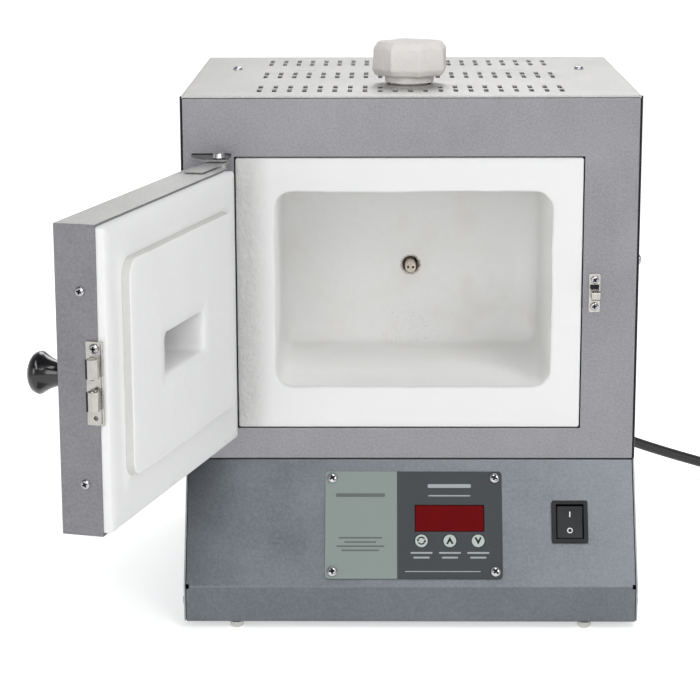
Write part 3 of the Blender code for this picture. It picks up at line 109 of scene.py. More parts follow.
# %% The cord's route
CORD_DIAMETER = 0.0085
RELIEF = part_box("strain_relief")
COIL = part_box("cord_coil")
CORD_EXIT = middle_of(RELIEF)
CORD_EXIT.y = RELIEF[1].y
COIL_CENTRE = middle_of(COIL)
COIL_CENTRE.z = 0
LEAD_POINTS = (
    (0.0000, -0.0030, 0.0000), (0.0002, 0.0075, -0.0001), (0.0031, 0.0160, -0.0013),
    (0.0105, 0.0265, -0.0048), (0.0222, 0.0342, -0.0110), (0.0380, 0.0372, -0.0200),
    (0.0570, 0.0375, -0.0296), (0.0760, 0.0375, -0.0375), (0.1000, 0.0375, -0.0455),
    (0.1250, 0.0375, -0.0530), (0.1470, 0.0375, -0.0590), (0.1660, 0.0375, -0.0630),
    (0.1808, 0.0375, -0.0641), (0.1960, 0.0375, -0.06425),
)
OUTER_TURN = 0.04925
INNER_TURN = 0.04075
LAYERS = (0.00425, 0.01275, 0.02125, 0.03015)
COIL_TURNS = 5.178
POINTS_PER_TURN = 24
COIL_TABLE = (
    (0.00, OUTER_TURN, LAYERS[0]), (0.72, OUTER_TURN, LAYERS[0]), (0.98, INNER_TURN, LAYERS[0]),
    (1.72, INNER_TURN, LAYERS[0]), (1.98, INNER_TURN, LAYERS[1]), (2.72, INNER_TURN, LAYERS[1]),
    (2.98, OUTER_TURN, LAYERS[1]), (3.72, OUTER_TURN, LAYERS[1]), (3.98, OUTER_TURN, LAYERS[2]),
    (4.70, OUTER_TURN, LAYERS[2]), (4.84, INNER_TURN + 0.0008, LAYERS[2]),
    (5.04, INNER_TURN + 0.0010, LAYERS[3]), (COIL_TURNS, 0.0500, LAYERS[3]),
)
TAIL_BEND = 0.036
TAIL_START = (0.045, 0.022)
TAIL_STEPS = 6
ROUTE_STEP = 0.006
PLUG_AXIS_Z = 0.0369


def eased(share):
    """A share from 0 to 1 with a smooth start and stop."""
    return share * share * (3 - 2 * share)


def coil_point(turn):
    """Where the cord is after so many clockwise turns from the coil's back."""
    for low, high in zip(COIL_TABLE, COIL_TABLE[1:]):
        if low[0] <= turn <= high[0]:
            share = eased((turn - low[0]) / (high[0] - low[0]))
            radius, height = between(low[1:], high[1:], share)
            angle = math.pi / 2 - 2 * math.pi * turn
            return Vector((radius * math.cos(angle), radius * math.sin(angle), height))
    raise ValueError(turn)


def smooth_path(points, step):
    """Points about a step apart on a Catmull-Rom curve through the given points."""
    knots = [Vector(p) for p in points]
    knots = [2 * knots[0] - knots[1]] + knots + [2 * knots[-1] - knots[-2]]
    path = []
    for i in range(1, len(knots) - 2):
        a, b, c, d = knots[i - 1:i + 3]
        count = max(2, round((c - b).length / step))
        for k in range(count):
            t = k / count
            path.append(0.5 * (2 * b + (c - a) * t + (2 * a - 5 * b + 4 * c - d) * t ** 2
                               + (3 * b - a - 3 * c + d) * t ** 3))
    path.append(knots[-2])
    return path


turns = [coil_point(k / POINTS_PER_TURN) for k in range(int(COIL_TURNS * POINTS_PER_TURN) + 1)]
tail = []
for k in range(TAIL_STEPS + 1):
    angle = math.pi / 2 * k / TAIL_STEPS
    rise = (PLUG_AXIS_Z - LAYERS[3]) * eased(k / TAIL_STEPS)
    tail.append(Vector((TAIL_START[0] - TAIL_BEND + TAIL_BEND * math.cos(angle),
                        TAIL_START[1] - TAIL_BEND * math.sin(angle), LAYERS[3] + rise)))
route = [CORD_EXIT + Vector(p) for p in LEAD_POINTS] + [COIL_CENTRE + p for p in turns + tail]
route = smooth_path(route, ROUTE_STEP)
print("cord points:", len(route),
      "length:", round(sum((b - a).length for a, b in zip(route, route[1:])), 3), "m")

# %% [markdown]
# ## Small makers
# `show` puts a mesh into the scene on a body and gives it a finish, and `second_finish`
# gives some of its faces another. `loft` joins closed loops that have the same number of
# points, which is how the plug's grip, the chamber and the door's lining are made. `lathe`
# is a loft of circles, for all that is turned.

# %% Mesh makers
NODE_BODY = {n: body for body, ns in frame["record"]["behaviour"]["bodies"].items() for n in ns}
PINHOLE = 0.00005
AIM = {
    "+Z": Matrix.Identity(4),
    "-Z": Matrix.Rotation(math.pi, 4, "X"),
    "+Y": Matrix.Rotation(-math.pi / 2, 4, "X"),
    "-Y": Matrix.Rotation(math.pi / 2, 4, "X"),
    "+X": Matrix.Rotation(math.pi / 2, 4, "Y"),
    "-X": Matrix.Rotation(-math.pi / 2, 4, "Y"),
}


def mesh_of(bm, name, smooth=True, sharp=32):
    """A mesh from a bmesh, faces outwards, smooth but for its sharp edges."""
    bmesh.ops.recalc_face_normals(bm, faces=bm.faces[:])
    mesh = bpy.data.meshes.new(name)
    bm.to_mesh(mesh)
    bm.free()
    if smooth:
        mesh.shade_smooth()
        mesh.set_sharp_from_angle(angle=math.radians(sharp))
    return mesh


def coat(mesh, finish):
    """Gives a mesh one finish and no other."""
    mesh.materials.clear()
    mesh.materials.append(finish.material)


def second_finish(mesh, finish, chosen):
    """Gives the chosen faces of a coated mesh another finish."""
    mesh.materials.append(finish.material)
    for face in mesh.polygons:
        face.material_index = 1 if chosen(face) else 0


def show(name, mesh, finish, body, replaced=()):
    """Adds a piece that rides on a body. The finish says what it is made of."""
    made = placed(name, mesh)
    if finish is not None:
        coat(mesh, finish)
    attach(made, body)
    if replaced:
        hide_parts(*replaced)
    return made


def loft(loops, closed=False):
    """A solid through loops of equal length, with flat ends unless it closes on itself."""
    bm = bmesh.new()
    rings = [[bm.verts.new(p) for p in loop] for loop in loops]
    pairs = list(zip(rings, rings[1:]))
    if closed:
        pairs.append((rings[-1], rings[0]))
    for first, second in pairs:
        for i in range(len(first)):
            j = (i + 1) % len(first)
            bm.faces.new((first[i], first[j], second[j], second[i]))
    if not closed:
        bm.faces.new(rings[0])
        bm.faces.new(rings[-1])
    return bm


def circle(radius, height, sides):
    """A loop round the Z axis."""
    angles = [2 * math.pi * k / sides for k in range(sides)]
    return [(radius * math.cos(a), radius * math.sin(a), height) for a in angles]


def lathe(profile, sides=40):
    """A solid of revolution from (radius, height) pairs. A zero radius closes to a small flat."""
    return loft([circle(max(radius, PINHOLE), height, sides) for radius, height in profile])


def moved(bm, place, aim="+Z"):
    """Turns a shape made along +Z and moves it."""
    bm.transform(Matrix.Translation(place) @ AIM[aim])
    return bm


def joined(*parts):
    """Several shapes as one."""
    whole = bmesh.new()
    for bm in parts:
        mesh = bpy.data.meshes.new("shape")
        bm.to_mesh(mesh)
        bm.free()
        whole.from_mesh(mesh)
        bpy.data.meshes.remove(mesh)
    return whole


def rounded_loop(centre, size, radius, corner=6, side=1):
    """A rectangle with round corners in the plane, with extra points along each side."""
    across, up = size[0] / 2 - radius, size[1] / 2 - radius
    corners = []
    for sx, sy, start in ((1, 1, 0), (-1, 1, 90), (-1, -1, 180), (1, -1, 270)):
        arc = []
        for k in range(corner + 1):
            angle = math.radians(start + 90 * k / corner)
            arc.append(Vector((centre[0] + sx * across + radius * math.cos(angle),
                               centre[1] + sy * up + radius * math.sin(angle))))
        corners.append(arc)
    loop = []
    for i, arc in enumerate(corners):
        following = corners[(i + 1) % 4][0]
        loop += arc
        loop += [arc[-1].lerp(following, k / side) for k in range(1, side)]
    return loop


def grown(size, change):
    """A size with both its sides made longer."""
    return [side + change for side in size]


print("nodes in the frame:", len(NODE_BODY))

# %% [markdown]
# ## Plug and strain relief
# A moulded plug is a squarish grip that narrows into a ribbed sleeve, with two flat blades
# and a round earth pin. The grip is lofted from rounded rectangles. The ribs are a lathe
# whose radius steps in and out, and the strain relief at the back of the base has the same
# ribs, which let it bend.

# %% Mains plug
PLUG_GRIP = (0.034, 0.026, 0.022)
GRIP_TAPER = ((0.00, 0.62), (0.06, 0.74), (0.20, 0.90), (0.45, 0.97), (0.80, 1.0), (0.96, 1.0),
              (1.0, 0.96))
PLUG_SLEEVE = 0.018
BLADE = (0.017, 0.0015, 0.0063)
BLADE_SPREAD = 0.00635
BLADE_HEIGHT = 0.00115
BLADE_ROOT = -PLUG_SLEEVE - PLUG_GRIP[0] + 0.001
EARTH_PIN = ((0, 0), (0.0024, 0), (0.0024, 0.0155), (0.0016, 0.0178), (0, 0.018))
EARTH_PIN_DROP = 0.0075
PLUG_START = COIL_CENTRE + Vector((TAIL_START[0] - TAIL_BEND - 0.001, TAIL_START[1] - TAIL_BEND,
                                   PLUG_AXIS_Z))


def ribbed(length, thick, thin, ribs):
    """A profile of ribs and grooves along a taper."""
    profile = [(0, 0)]
    for k in range(ribs):
        low = length * k / ribs
        radius = thin + (thick - thin) * k / ribs
        rib = length / ribs
        profile += [(radius, low), (radius, low + rib * 0.55),
                    (radius * 0.82, low + rib * 0.65), (radius * 0.82, low + rib * 0.95)]
    return profile + [(thick, length), (0, length)]


def plug_grip():
    """The grip, from the sleeve's end to the face that the blades stand in."""
    length, wide, tall = PLUG_GRIP
    loops = []
    for along, size in GRIP_TAPER:
        x = -PLUG_SLEEVE - length * along
        loop = rounded_loop((0, 0), (wide * size, tall * size), 0.005 * size, 5)
        loops.append([(x, y, z) for y, z in loop])
    return loft(loops)


def blade(side):
    """One flat blade with a softened tip."""
    length, thick, tall = BLADE
    middle = (side * BLADE_SPREAD, BLADE_HEIGHT)
    loops = []
    for along, size in ((0.0, 1.0), (0.90, 1.0), (1.0, 0.72)):
        x = BLADE_ROOT - (length + 0.001) * along
        loop = rounded_loop(middle, (thick * size, tall * size), 0.0004, 2)
        loops.append([(x, y, z) for y, z in loop])
    return loft(loops)


sleeve = moved(lathe(ribbed(PLUG_SLEEVE + 0.002, 0.0086, 0.0062, 6)), (0, 0, 0), "-X")
plug_mesh = mesh_of(joined(sleeve, plug_grip()), "mains_plug_body")
plug_mesh.transform(Matrix.Translation(PLUG_START))
plug_body = show("mains_plug_body", plug_mesh, None, "case", ("mains_plug",))
earth_pin = moved(lathe(EARTH_PIN), (BLADE_ROOT, 0, -EARTH_PIN_DROP), "-X")
blade_mesh = mesh_of(joined(blade(1), blade(-1), earth_pin), "mains_plug_blades")
blade_mesh.transform(Matrix.Translation(PLUG_START))
plug_blades = show("mains_plug_blades", blade_mesh, None, "case")
print("plug starts at", [round(c, 4) for c in PLUG_START])

# %% [markdown]
# ## The cord's own mesh
# The cord is a tube along the route: a loft of circles, each turned from the one before by
# the least angle, so that the tube doesn't twist.

# %% The cord itself


def tube(points, radius, sides=14):
    """A round solid along a path, without twist."""
    loops = []
    along = (points[1] - points[0]).normalized()
    across = along.orthogonal().normalized()
    for i, point in enumerate(points):
        ahead = points[min(i + 1, len(points) - 1)] - points[max(i - 1, 0)]
        ahead.normalize()
        across = (along.rotation_difference(ahead) @ across).normalized()
        along = ahead
        up = along.cross(across)
        loops.append([point + across * x + up * y for x, y, _ in circle(radius, 0, sides)])
    return loft(loops)


cord_mesh = mesh_of(tube(route, CORD_DIAMETER / 2), "mains_cord", sharp=60)
mains_cord = show("mains_cord", cord_mesh, None, "case",
                  ("cord_lead", "cord_coil", "cord_tail"))
print("cord leaves at", [round(c, 4) for c in CORD_EXIT])

# %% [markdown]
# ## Writing shaders as sums
# A finish is easier to read as a sum than as a web of nodes. A Wave wraps one output
# socket and knows how to add, subtract and multiply, so `1 - spots * 0.3` builds its own
# Math nodes. A Finish holds one material. Its single `node` method makes any node: the
# settings come first, then the values or links of its inputs. `stain` lays one colour over
# what the surface has so far.

# %% Shader helpers


class Wave:
    """One output socket that takes part in sums."""

    def __init__(self, finish, socket):
        self.finish = finish
        self.socket = socket

    def maths(self, operation, first, second):
        settings = {"operation": operation}
        return self.finish.node("ShaderNodeMath", settings, {0: first, 1: second})

    def __add__(self, other):
        return self.maths("ADD", self, other)

    def __rsub__(self, other):
        return self.maths("SUBTRACT", other, self)

    def __mul__(self, other):
        return self.maths("MULTIPLY", self, other)

    __radd__ = __add__
    __rmul__ = __mul__


class Finish:
    """A material with a Principled shader, and the means to build its nodes."""

    def __init__(self, name, colour, roughness, metallic=0.0, **fixed):
        self.material = bpy.data.materials.new(name)
        self.material.use_nodes = True
        self.tree = self.material.node_tree
        self.shader = self.tree.nodes["Principled BSDF"]
        self.colour = colour
        self.feed("Base Color", (*colour, 1))
        self.feed("Roughness", roughness)
        self.feed("Metallic", metallic)
        for socket, value in fixed.items():
            self.feed(socket.replace("_", " "), value)
        self.place = self.node("ShaderNodeTexCoord", {}, {}, "Object")

    def feed(self, socket, value):
        self.connect(self.shader.inputs[socket], value)

    def connect(self, target, value):
        if isinstance(value, Wave):
            self.tree.links.new(value.socket, target)
        else:
            target.default_value = value

    def node(self, kind, settings, inputs, output=0):
        made = self.tree.nodes.new(kind)
        for name, value in settings.items():
            if name == "stops":
                self.set_stops(made.color_ramp, value)
            else:
                setattr(made, name, value)
        for socket, value in inputs.items():
            self.connect(made.inputs[socket], value)
        return Wave(self, made.outputs[output])

    def stain(self, share, colour):
        """Lays a colour over the surface where the share is high."""
        self.colour = self.blend(share, self.colour, colour)
        self.feed("Base Color", self.colour)

    def set_stops(self, ramp, stops):
        while len(ramp.elements) < len(stops):
            ramp.elements.new(1.0)
        for element, (position, level) in zip(ramp.elements, stops):
            element.position = position
            element.color = (level, level, level, 1)

    def grain(self, scale, detail=3.0, roughness=0.6, stretch=(1, 1, 1)):
        """Soft cloudy noise from 0 to 1. Scale is in cells per metre."""
        place = self.node("ShaderNodeMapping", {}, {"Vector": self.place, "Scale": stretch})
        sizes = {"Vector": place, "Scale": scale, "Detail": detail, "Roughness": roughness}
        return self.node("ShaderNodeTexNoise", {}, sizes, "Fac")

    def steps(self, wave, *stops):
        """Bends a 0 to 1 wave to the given (position, level) stops."""
        return self.node("ShaderNodeValToRGB", {"stops": stops}, {0: wave})

    def blend(self, share, first, second):
        """A colour between two colours."""
        inputs = {0: share, 6: self.four(first), 7: self.four(second)}
        return self.node("ShaderNodeMix", {"data_type": "RGBA"}, inputs, 2)

    def four(self, colour):
        return colour if isinstance(colour, Wave) else (*colour, 1)

    def near(self, centre, reach):
        """1 at a point, falling to 0 at the reach."""
        settings = {"operation": "DISTANCE"}
        away = self.node("ShaderNodeVectorMath", settings, {0: self.place, 1: centre}, "Value")
        ranges = {"Value": away, "From Min": 0.0, "From Max": reach, "To Min": 1.0, "To Max": 0.0}
        return self.node("ShaderNodeMapRange", {}, ranges)

    def axis(self, name, low, high):
        """0 to 1 along X, Y or Z between two places, in metres."""
        along = self.node("ShaderNodeSeparateXYZ", {}, {0: self.place}, name)
        return self.node("ShaderNodeMapRange", {}, {"Value": along, "From Min": low, "From Max": high})

    def bump(self, height, depth):
        """A Bump node on the shader's Normal. Depth is in metres."""
        inputs = {"Height": height, "Distance": depth, "Strength": 1.0}
        self.feed("Normal", self.node("ShaderNodeBump", {}, inputs, "Normal"))


print("shader helpers ready")

# %% [markdown]
# ## Zinc-coated steel
# The case is folded from sheet that was dipped in zinc and then heated, which gives a fine
# grey mottle with no large flakes. Close up it has rolling lines along the sheet and small
# dull spots. Three layers of noise do this: fine grain in the colour, stretched noise for
# the rolling lines, and large clouds in the roughness so that the light breaks up softly.

# %% Steel finishes


def make_steel(name, colour, roughness, stretch, depth=0.00004):
    """A satin zinc-coated sheet whose rolling lines run along the axis with the least stretch."""
    steel = Finish(name, colour, roughness, 0.82)
    fine = steel.grain(1900, 3.0, 0.7)
    spots = steel.steps(steel.grain(620, 4.0, 0.75), (0.36, 0.0), (0.66, 1.0))
    clouds = steel.steps(steel.grain(22, 3.0, 0.6), (0.30, 0.0), (0.72, 1.0))
    lines = steel.grain(260, 2.0, 0.5, stretch)
    dark = [c * 0.78 for c in colour]
    light = [min(1.0, c * 1.18) for c in colour]
    share = fine * 0.36 + spots * 0.34 + lines * 0.10 + clouds * 0.20
    steel.feed("Base Color", steel.blend(steel.steps(share, (0.25, 0.0), (0.78, 1.0)), dark, light))
    steel.feed("Roughness", spots * 0.10 + clouds * 0.12 + (roughness - 0.10))
    steel.bump(fine * 0.7 + lines * 0.3, depth)
    return steel


ALONG_X = (0.15, 1, 1)
ALONG_Y = (1, 0.15, 1)
ALONG_Z = (1, 1, 0.15)

case_steel = make_steel("case_steel", (0.50, 0.495, 0.485), 0.44, ALONG_Y)
front_steel = make_steel("front_steel", (0.30, 0.298, 0.315), 0.46, ALONG_Z)
# The base is the same sheet as the rest of the case, painted darker: painted shade on the base and its slope.
shaded_base_steel = make_steel("shaded_base_steel", (0.150, 0.164, 0.180), 0.36, ALONG_X)
side_steel = make_steel("side_steel", (0.36, 0.37, 0.39), 0.40, ALONG_Z)
door_steel = make_steel("door_steel", (0.25, 0.248, 0.265), 0.42, ALONG_Z)
inner_steel = make_steel("inner_steel", (0.40, 0.40, 0.41), 0.50, ALONG_X)
print("steel finishes:", 6)

# %% [markdown]
# ## Bright metal
# The catch, strike, screws and hinge bolts are nickel or zinc plated: shinier than the
# sheet, with faint handling marks. One function makes them with different tones.

# %% Plated finishes


def make_plated(name, colour, roughness):
    """Bright plated metal with faint smears and a fine texture."""
    plated = Finish(name, colour, roughness, 1.0)
    smears = plated.steps(plated.grain(160, 4.0, 0.7), (0.35, 0.0), (0.70, 1.0))
    fine = plated.grain(3000, 2.0, 0.5)
    dark = [c * 0.72 for c in colour]
    plated.feed("Base Color", plated.blend(smears * 0.6 + fine * 0.3, colour, dark))
    plated.feed("Roughness", smears * 0.14 + fine * 0.06 + roughness)
    plated.bump(fine, 0.00002)
    return plated


nickel = make_plated("bright_nickel", (0.60, 0.585, 0.55), 0.11)
screw_zinc = make_plated("screw_zinc", (0.56, 0.56, 0.58), 0.16)
hinge_zinc = make_plated("hinge_zinc", (0.26, 0.26, 0.27), 0.34)
foot_metal = make_plated("foot_metal", (0.55, 0.54, 0.52), 0.30)
element_metal = make_plated("element_sheath", (0.26, 0.21, 0.19), 0.50)
core_steel = make_plated("core_steel", (0.34, 0.34, 0.35), 0.45)
# A near-black finish for painted shade: screw recesses, the front seams, the strike's opening, and the catch's
# slot and barrel sides.
painted_shade = make_plated("painted_shade", (0.035, 0.035, 0.038), 0.45)
print("plated finishes:", 7)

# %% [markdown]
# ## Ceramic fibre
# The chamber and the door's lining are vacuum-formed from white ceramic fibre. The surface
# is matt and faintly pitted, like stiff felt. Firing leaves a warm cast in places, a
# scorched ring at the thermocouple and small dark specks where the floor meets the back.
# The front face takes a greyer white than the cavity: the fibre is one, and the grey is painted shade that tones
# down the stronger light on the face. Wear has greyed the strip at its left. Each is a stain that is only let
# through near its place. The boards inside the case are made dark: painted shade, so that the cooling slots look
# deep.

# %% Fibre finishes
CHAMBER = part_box("firing_chamber")
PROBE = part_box("thermocouple")
PROBE_CENTRE = middle_of(PROBE)
PROBE_CENTRE.y = PROBE[0].y + 0.012
FIBRE_WHITE = (0.90, 0.902, 0.892)
FIBRE_SHADE = (0.84, 0.842, 0.830)
FACE_WHITE = (0.735, 0.737, 0.733)
DOOR_WHITE = (0.775, 0.777, 0.773)
DOOR_SHADE = (0.735, 0.737, 0.731)
FIBRE_PINK = (0.83, 0.78, 0.75)
SCORCH_BROWN = (0.20, 0.12, 0.085)
SOOT_GREY = (0.30, 0.28, 0.26)
WORN_GREY = (0.62, 0.625, 0.61)
PAD_GREY = (0.60, 0.60, 0.585)
PAD_SHADE = (0.52, 0.52, 0.505)
BOARD_DARK = (0.055, 0.052, 0.050)
BOARD_SHADE = (0.035, 0.033, 0.032)
FIBRE_PITS = 0.00030
SCORCH_REACH = 0.0105
SOOT_PLACE = (PROBE_CENTRE.x - 0.002, PROBE_CENTRE.y - 0.008, CHAMBER[0].z + 0.036)
SOOT_REACH = 0.036


def make_fibre(name, depth, clean=FIBRE_WHITE, shade=FIBRE_SHADE):
    """Fibre board: matt, mottled and finely pitted."""
    fibre = Finish(name, clean, 0.94, Specular_IOR_Level=0.20)
    mottle = fibre.steps(fibre.grain(260, 4.0, 0.7), (0.34, 0.0), (0.70, 1.0))
    clouds = fibre.steps(fibre.grain(18, 3.0, 0.6), (0.40, 0.0), (0.75, 1.0))
    pits = fibre.grain(900, 4.0, 0.75)
    fibre.stain(mottle * 0.35 + clouds * 0.25, shade)
    fibre.bump(pits * 0.7 + mottle * 0.3, depth)
    return fibre


chamber_fibre = make_fibre("chamber_fibre", FIBRE_PITS)
warm = chamber_fibre.steps(chamber_fibre.grain(30, 2.0, 0.5), (0.50, 0.0), (0.72, 1.0))
depth_in = chamber_fibre.axis("Y", CHAMBER[0].y + 0.03, CHAMBER[0].y + 0.15)
chamber_fibre.stain(warm * depth_in * 0.40, FIBRE_PINK)
ragged = chamber_fibre.grain(420, 3.0, 0.7)
scorch = chamber_fibre.near(tuple(PROBE_CENTRE), SCORCH_REACH) + ragged * 0.35
chamber_fibre.stain(chamber_fibre.steps(scorch, (0.40, 0.0), (0.62, 1.0)), SCORCH_BROWN)
soot_specks = chamber_fibre.steps(chamber_fibre.grain(700, 3.0, 0.8), (0.60, 0.0), (0.68, 1.0))
soot = chamber_fibre.steps(chamber_fibre.near(SOOT_PLACE, SOOT_REACH), (0.15, 0.0), (0.60, 0.55))
chamber_fibre.stain(soot_specks * soot, SOOT_GREY)
# The front face takes a greyer white: painted shade, as the face gets more light than the cavity.
painted_face_shade = chamber_fibre.axis("Y", CHAMBER[0].y + 0.0060, CHAMBER[0].y + 0.0008)
chamber_fibre.stain(painted_face_shade, FACE_WHITE)
worn = chamber_fibre.axis("X", CHAMBER[0].x + 0.024, CHAMBER[0].x + 0.010)
torn = chamber_fibre.steps(chamber_fibre.grain(190, 4.0, 0.75), (0.38, 0.0), (0.62, 1.0))
chamber_fibre.stain(worn * (torn * 0.35 + 0.65), WORN_GREY)
chamber_fibre.bump(chamber_fibre.grain(900, 4.0, 0.75) * 0.5 + torn * worn * 2.0, FIBRE_PITS)

door_fibre = make_fibre("door_fibre", 0.00018, DOOR_WHITE, DOOR_SHADE)
# A greyer fibre for the pad's sides: painted shade.
pad_side_shade = make_fibre("pad_side_shade", FIBRE_PITS, PAD_GREY, PAD_SHADE)
# The boards inside the case are near-black: painted shade, so that the cooling slots look deep.
slot_shade_board = make_fibre("slot_shade_board", FIBRE_PITS, BOARD_DARK, BOARD_SHADE)
print("scorched ring at", [round(c, 4) for c in PROBE_CENTRE])

# %% [markdown]
# ## Fired ceramic
# The vent plug and the thermocouple sheath are unglazed cream ceramic. The plug is shaped by
# hand, so its flats are a little uneven and its skin has small pits.

# %% Ceramic finishes


def make_ceramic(name, colour, depth):
    """Unglazed ceramic with small pits and a slight change of tone."""
    ceramic = Finish(name, colour, 0.78, Specular_IOR_Level=0.30)
    clouds = ceramic.steps(ceramic.grain(60, 3.0, 0.6), (0.35, 0.0), (0.70, 1.0))
    pits = ceramic.steps(ceramic.grain(800, 3.0, 0.6), (0.30, 0.0), (0.45, 1.0))
    shade = [c * 0.90 for c in colour]
    ceramic.feed("Base Color", ceramic.blend(clouds * 0.6 + (1 - pits) * 0.4, colour, shade))
    ceramic.bump(pits * 0.4 + clouds * 0.6, depth)
    return ceramic


plug_ceramic = make_ceramic("plug_ceramic", (0.82, 0.785, 0.76), 0.00030)
probe_ceramic = make_ceramic("probe_ceramic", (0.70, 0.62, 0.54), 0.00015)
print("ceramic finishes:", 2)

# %% [markdown]
# ## Plastics, rubber and glass
# The knob is polished black phenolic, the switch and plug are satin black plastic, and the
# cord's sheath is dull black vinyl. Each is dark, so most of the look is in the roughness:
# a fine moulded grain, and a few smoother patches where hands have rubbed.

# %% Plastic finishes


def make_plastic(name, colour, roughness, grain_scale, depth, **fixed):
    """Moulded plastic with a fine grain and slightly rubbed patches."""
    plastic = Finish(name, colour, roughness, **fixed)
    fine = plastic.grain(grain_scale, 2.0, 0.6)
    rubbed = plastic.steps(plastic.grain(70, 3.0, 0.6), (0.35, 0.0), (0.70, 1.0))
    lighter = [min(1.0, c * 1.25 + 0.004) for c in colour]
    plastic.feed("Base Color", plastic.blend(fine * 0.5 + rubbed * 0.3, colour, lighter))
    plastic.feed("Roughness", rubbed * 0.10 + fine * 0.06 + (roughness - 0.08))
    plastic.bump(fine, depth)
    return plastic


knob_black = make_plastic("knob_black", (0.008, 0.008, 0.009), 0.22, 500, 0.00001, Coat_Weight=0.5)
switch_black = make_plastic("switch_black", (0.010, 0.010, 0.012), 0.48, 1500, 0.00003,
                            Specular_IOR_Level=0.25)
rocker_black = make_plastic("rocker_black", (0.008, 0.009, 0.011), 0.38, 1500, 0.00002,
                            Specular_IOR_Level=0.30)
plug_black = make_plastic("plug_black", (0.020, 0.020, 0.021), 0.50, 1200, 0.00004)
cord_black = make_plastic("cord_black", (0.016, 0.016, 0.017), 0.46, 900, 0.00003)
part_black = make_plastic("part_black", (0.030, 0.030, 0.032), 0.50, 1200, 0.00004)
key_grey = make_plastic("key_grey", (0.40, 0.45, 0.42), 0.50, 1400, 0.00002,
                        Specular_IOR_Level=0.25)
strip_cream = make_plastic("strip_cream", (0.66, 0.62, 0.50), 0.48, 900, 0.00003)
board_green = make_plastic("board_green", (0.03, 0.16, 0.07), 0.45, 700, 0.00002)
print_white = make_plastic("print_white", (0.78, 0.79, 0.79), 0.55, 1500, 0.00001)
print_dark = make_plastic("print_dark", (0.008, 0.009, 0.010), 0.60, 1500, 0.00001,
                          Specular_IOR_Level=0.15)
rule_light = make_plastic("rule_light", (0.30, 0.32, 0.33), 0.55, 1500, 0.00001)
rule_dark = make_plastic("rule_dark", (0.085, 0.095, 0.095), 0.55, 1500, 0.00001)
lens_red = make_plastic("lens_red", (0.115, 0.0005, 0.0015), 0.50, 900, 0.00001,
                        Specular_IOR_Level=0.04)
print("plastic finishes:", 14)

# %% [markdown]
# ## The door's pane
# The pane is clear glass with a film of pale dust, which also roughens it a little.

# %% The door's pane
pane_glass = Finish("pane_glass", (0.90, 0.93, 0.92), 0.05, Transmission_Weight=0.9, IOR=1.47)
dust = pane_glass.steps(pane_glass.grain(120, 4.0, 0.7), (0.45, 0.0), (0.80, 1.0))
pane_glass.feed("Roughness", dust * 0.20 + 0.04)
pane_glass.feed("Base Color", pane_glass.blend(dust, (0.92, 0.94, 0.93), (0.80, 0.82, 0.80)))
print("pane with a film of dust")

# %% [markdown]
# ## The control panel's two tones
# The faceplate is one printed sheet of polycarbonate: pale grey-green on the left third and
# dark grey on the right. The edge between the tones is a hard step along X. A fine grain
# keeps the print from looking like flat paint.

# %% Faceplate finish
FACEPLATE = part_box("faceplate")
PALE_WIDTH = 0.0497
TONE_EDGE = FACEPLATE[0].x + PALE_WIDTH
face_print = Finish("face_print", (0.30, 0.31, 0.31), 0.50, Specular_IOR_Level=0.20)
tone_step = face_print.axis("X", TONE_EDGE - 0.0001, TONE_EDGE + 0.0001)
dark_side = face_print.steps(tone_step, (0.0, 0.0), (1.0, 1.0))
print_grain = face_print.grain(1600, 2.0, 0.6)
pale = face_print.blend(print_grain, (0.215, 0.258, 0.243), (0.245, 0.288, 0.272))
dark = face_print.blend(print_grain, (0.042, 0.048, 0.053), (0.054, 0.060, 0.066))
face_print.feed("Base Color", face_print.blend(dark_side, pale, dark))
face_print.feed("Roughness", print_grain * 0.10 + 0.46)
face_print.bump(print_grain, 0.00002)
print("tones meet at x =", round(TONE_EDGE, 4))

# %% [markdown]
# ## Cord, plug and strain relief
# The cord and the plug take their finishes now that these exist. The strain relief is
# turned: a stem inside the panel, a flange on it, and a ribbed taper outside.

# %% Give the cord and plug their finishes
RELIEF_INSIDE = 0.009
RELIEF_FLANGE = 0.003
RELIEF_RIBS = 0.0268

for made, finish in ((mains_cord, cord_black), (plug_body, plug_black), (plug_blades, nickel)):
    coat(made.data, finish)
relief_profile = [(0, -RELIEF_INSIDE), (0.0071, -RELIEF_INSIDE), (0.0071, 0.0), (0.0098, 0.0),
                  (0.0098, 0.0022), (0.0090, RELIEF_FLANGE)]
for radius, height in reversed(ribbed(RELIEF_RIBS, 0.0076, 0.0056, 8)[1:-1]):
    relief_profile.append((radius, RELIEF_FLANGE + (RELIEF_RIBS - height)))
relief_profile.append((0, RELIEF_FLANGE + RELIEF_RIBS))
relief_place = (CORD_EXIT.x, RELIEF[0].y + RELIEF_INSIDE, CORD_EXIT.z)
relief_mesh = mesh_of(moved(lathe(relief_profile, 32), relief_place, "+Y"), "strain_relief_ribbed")
show("strain_relief_ribbed", relief_mesh, plug_black, "case", ("strain_relief",))
print("strain relief:", len(relief_mesh.polygons), "faces")

# %% [markdown]
# ## Finishes for the pieces that keep their shape
# Many pieces of the working model already have the shape they need. They keep it and get a
# finish. Sheet pieces that show a cut edge get a small rounded edge instead: a copy of the
# mesh is cleaned of its triangles, bevelled, and stands for the node. A Weighted Normal
# modifier then gives each flat face its own direction back, so that only the thin rounded
# edge is shaded as a curve.

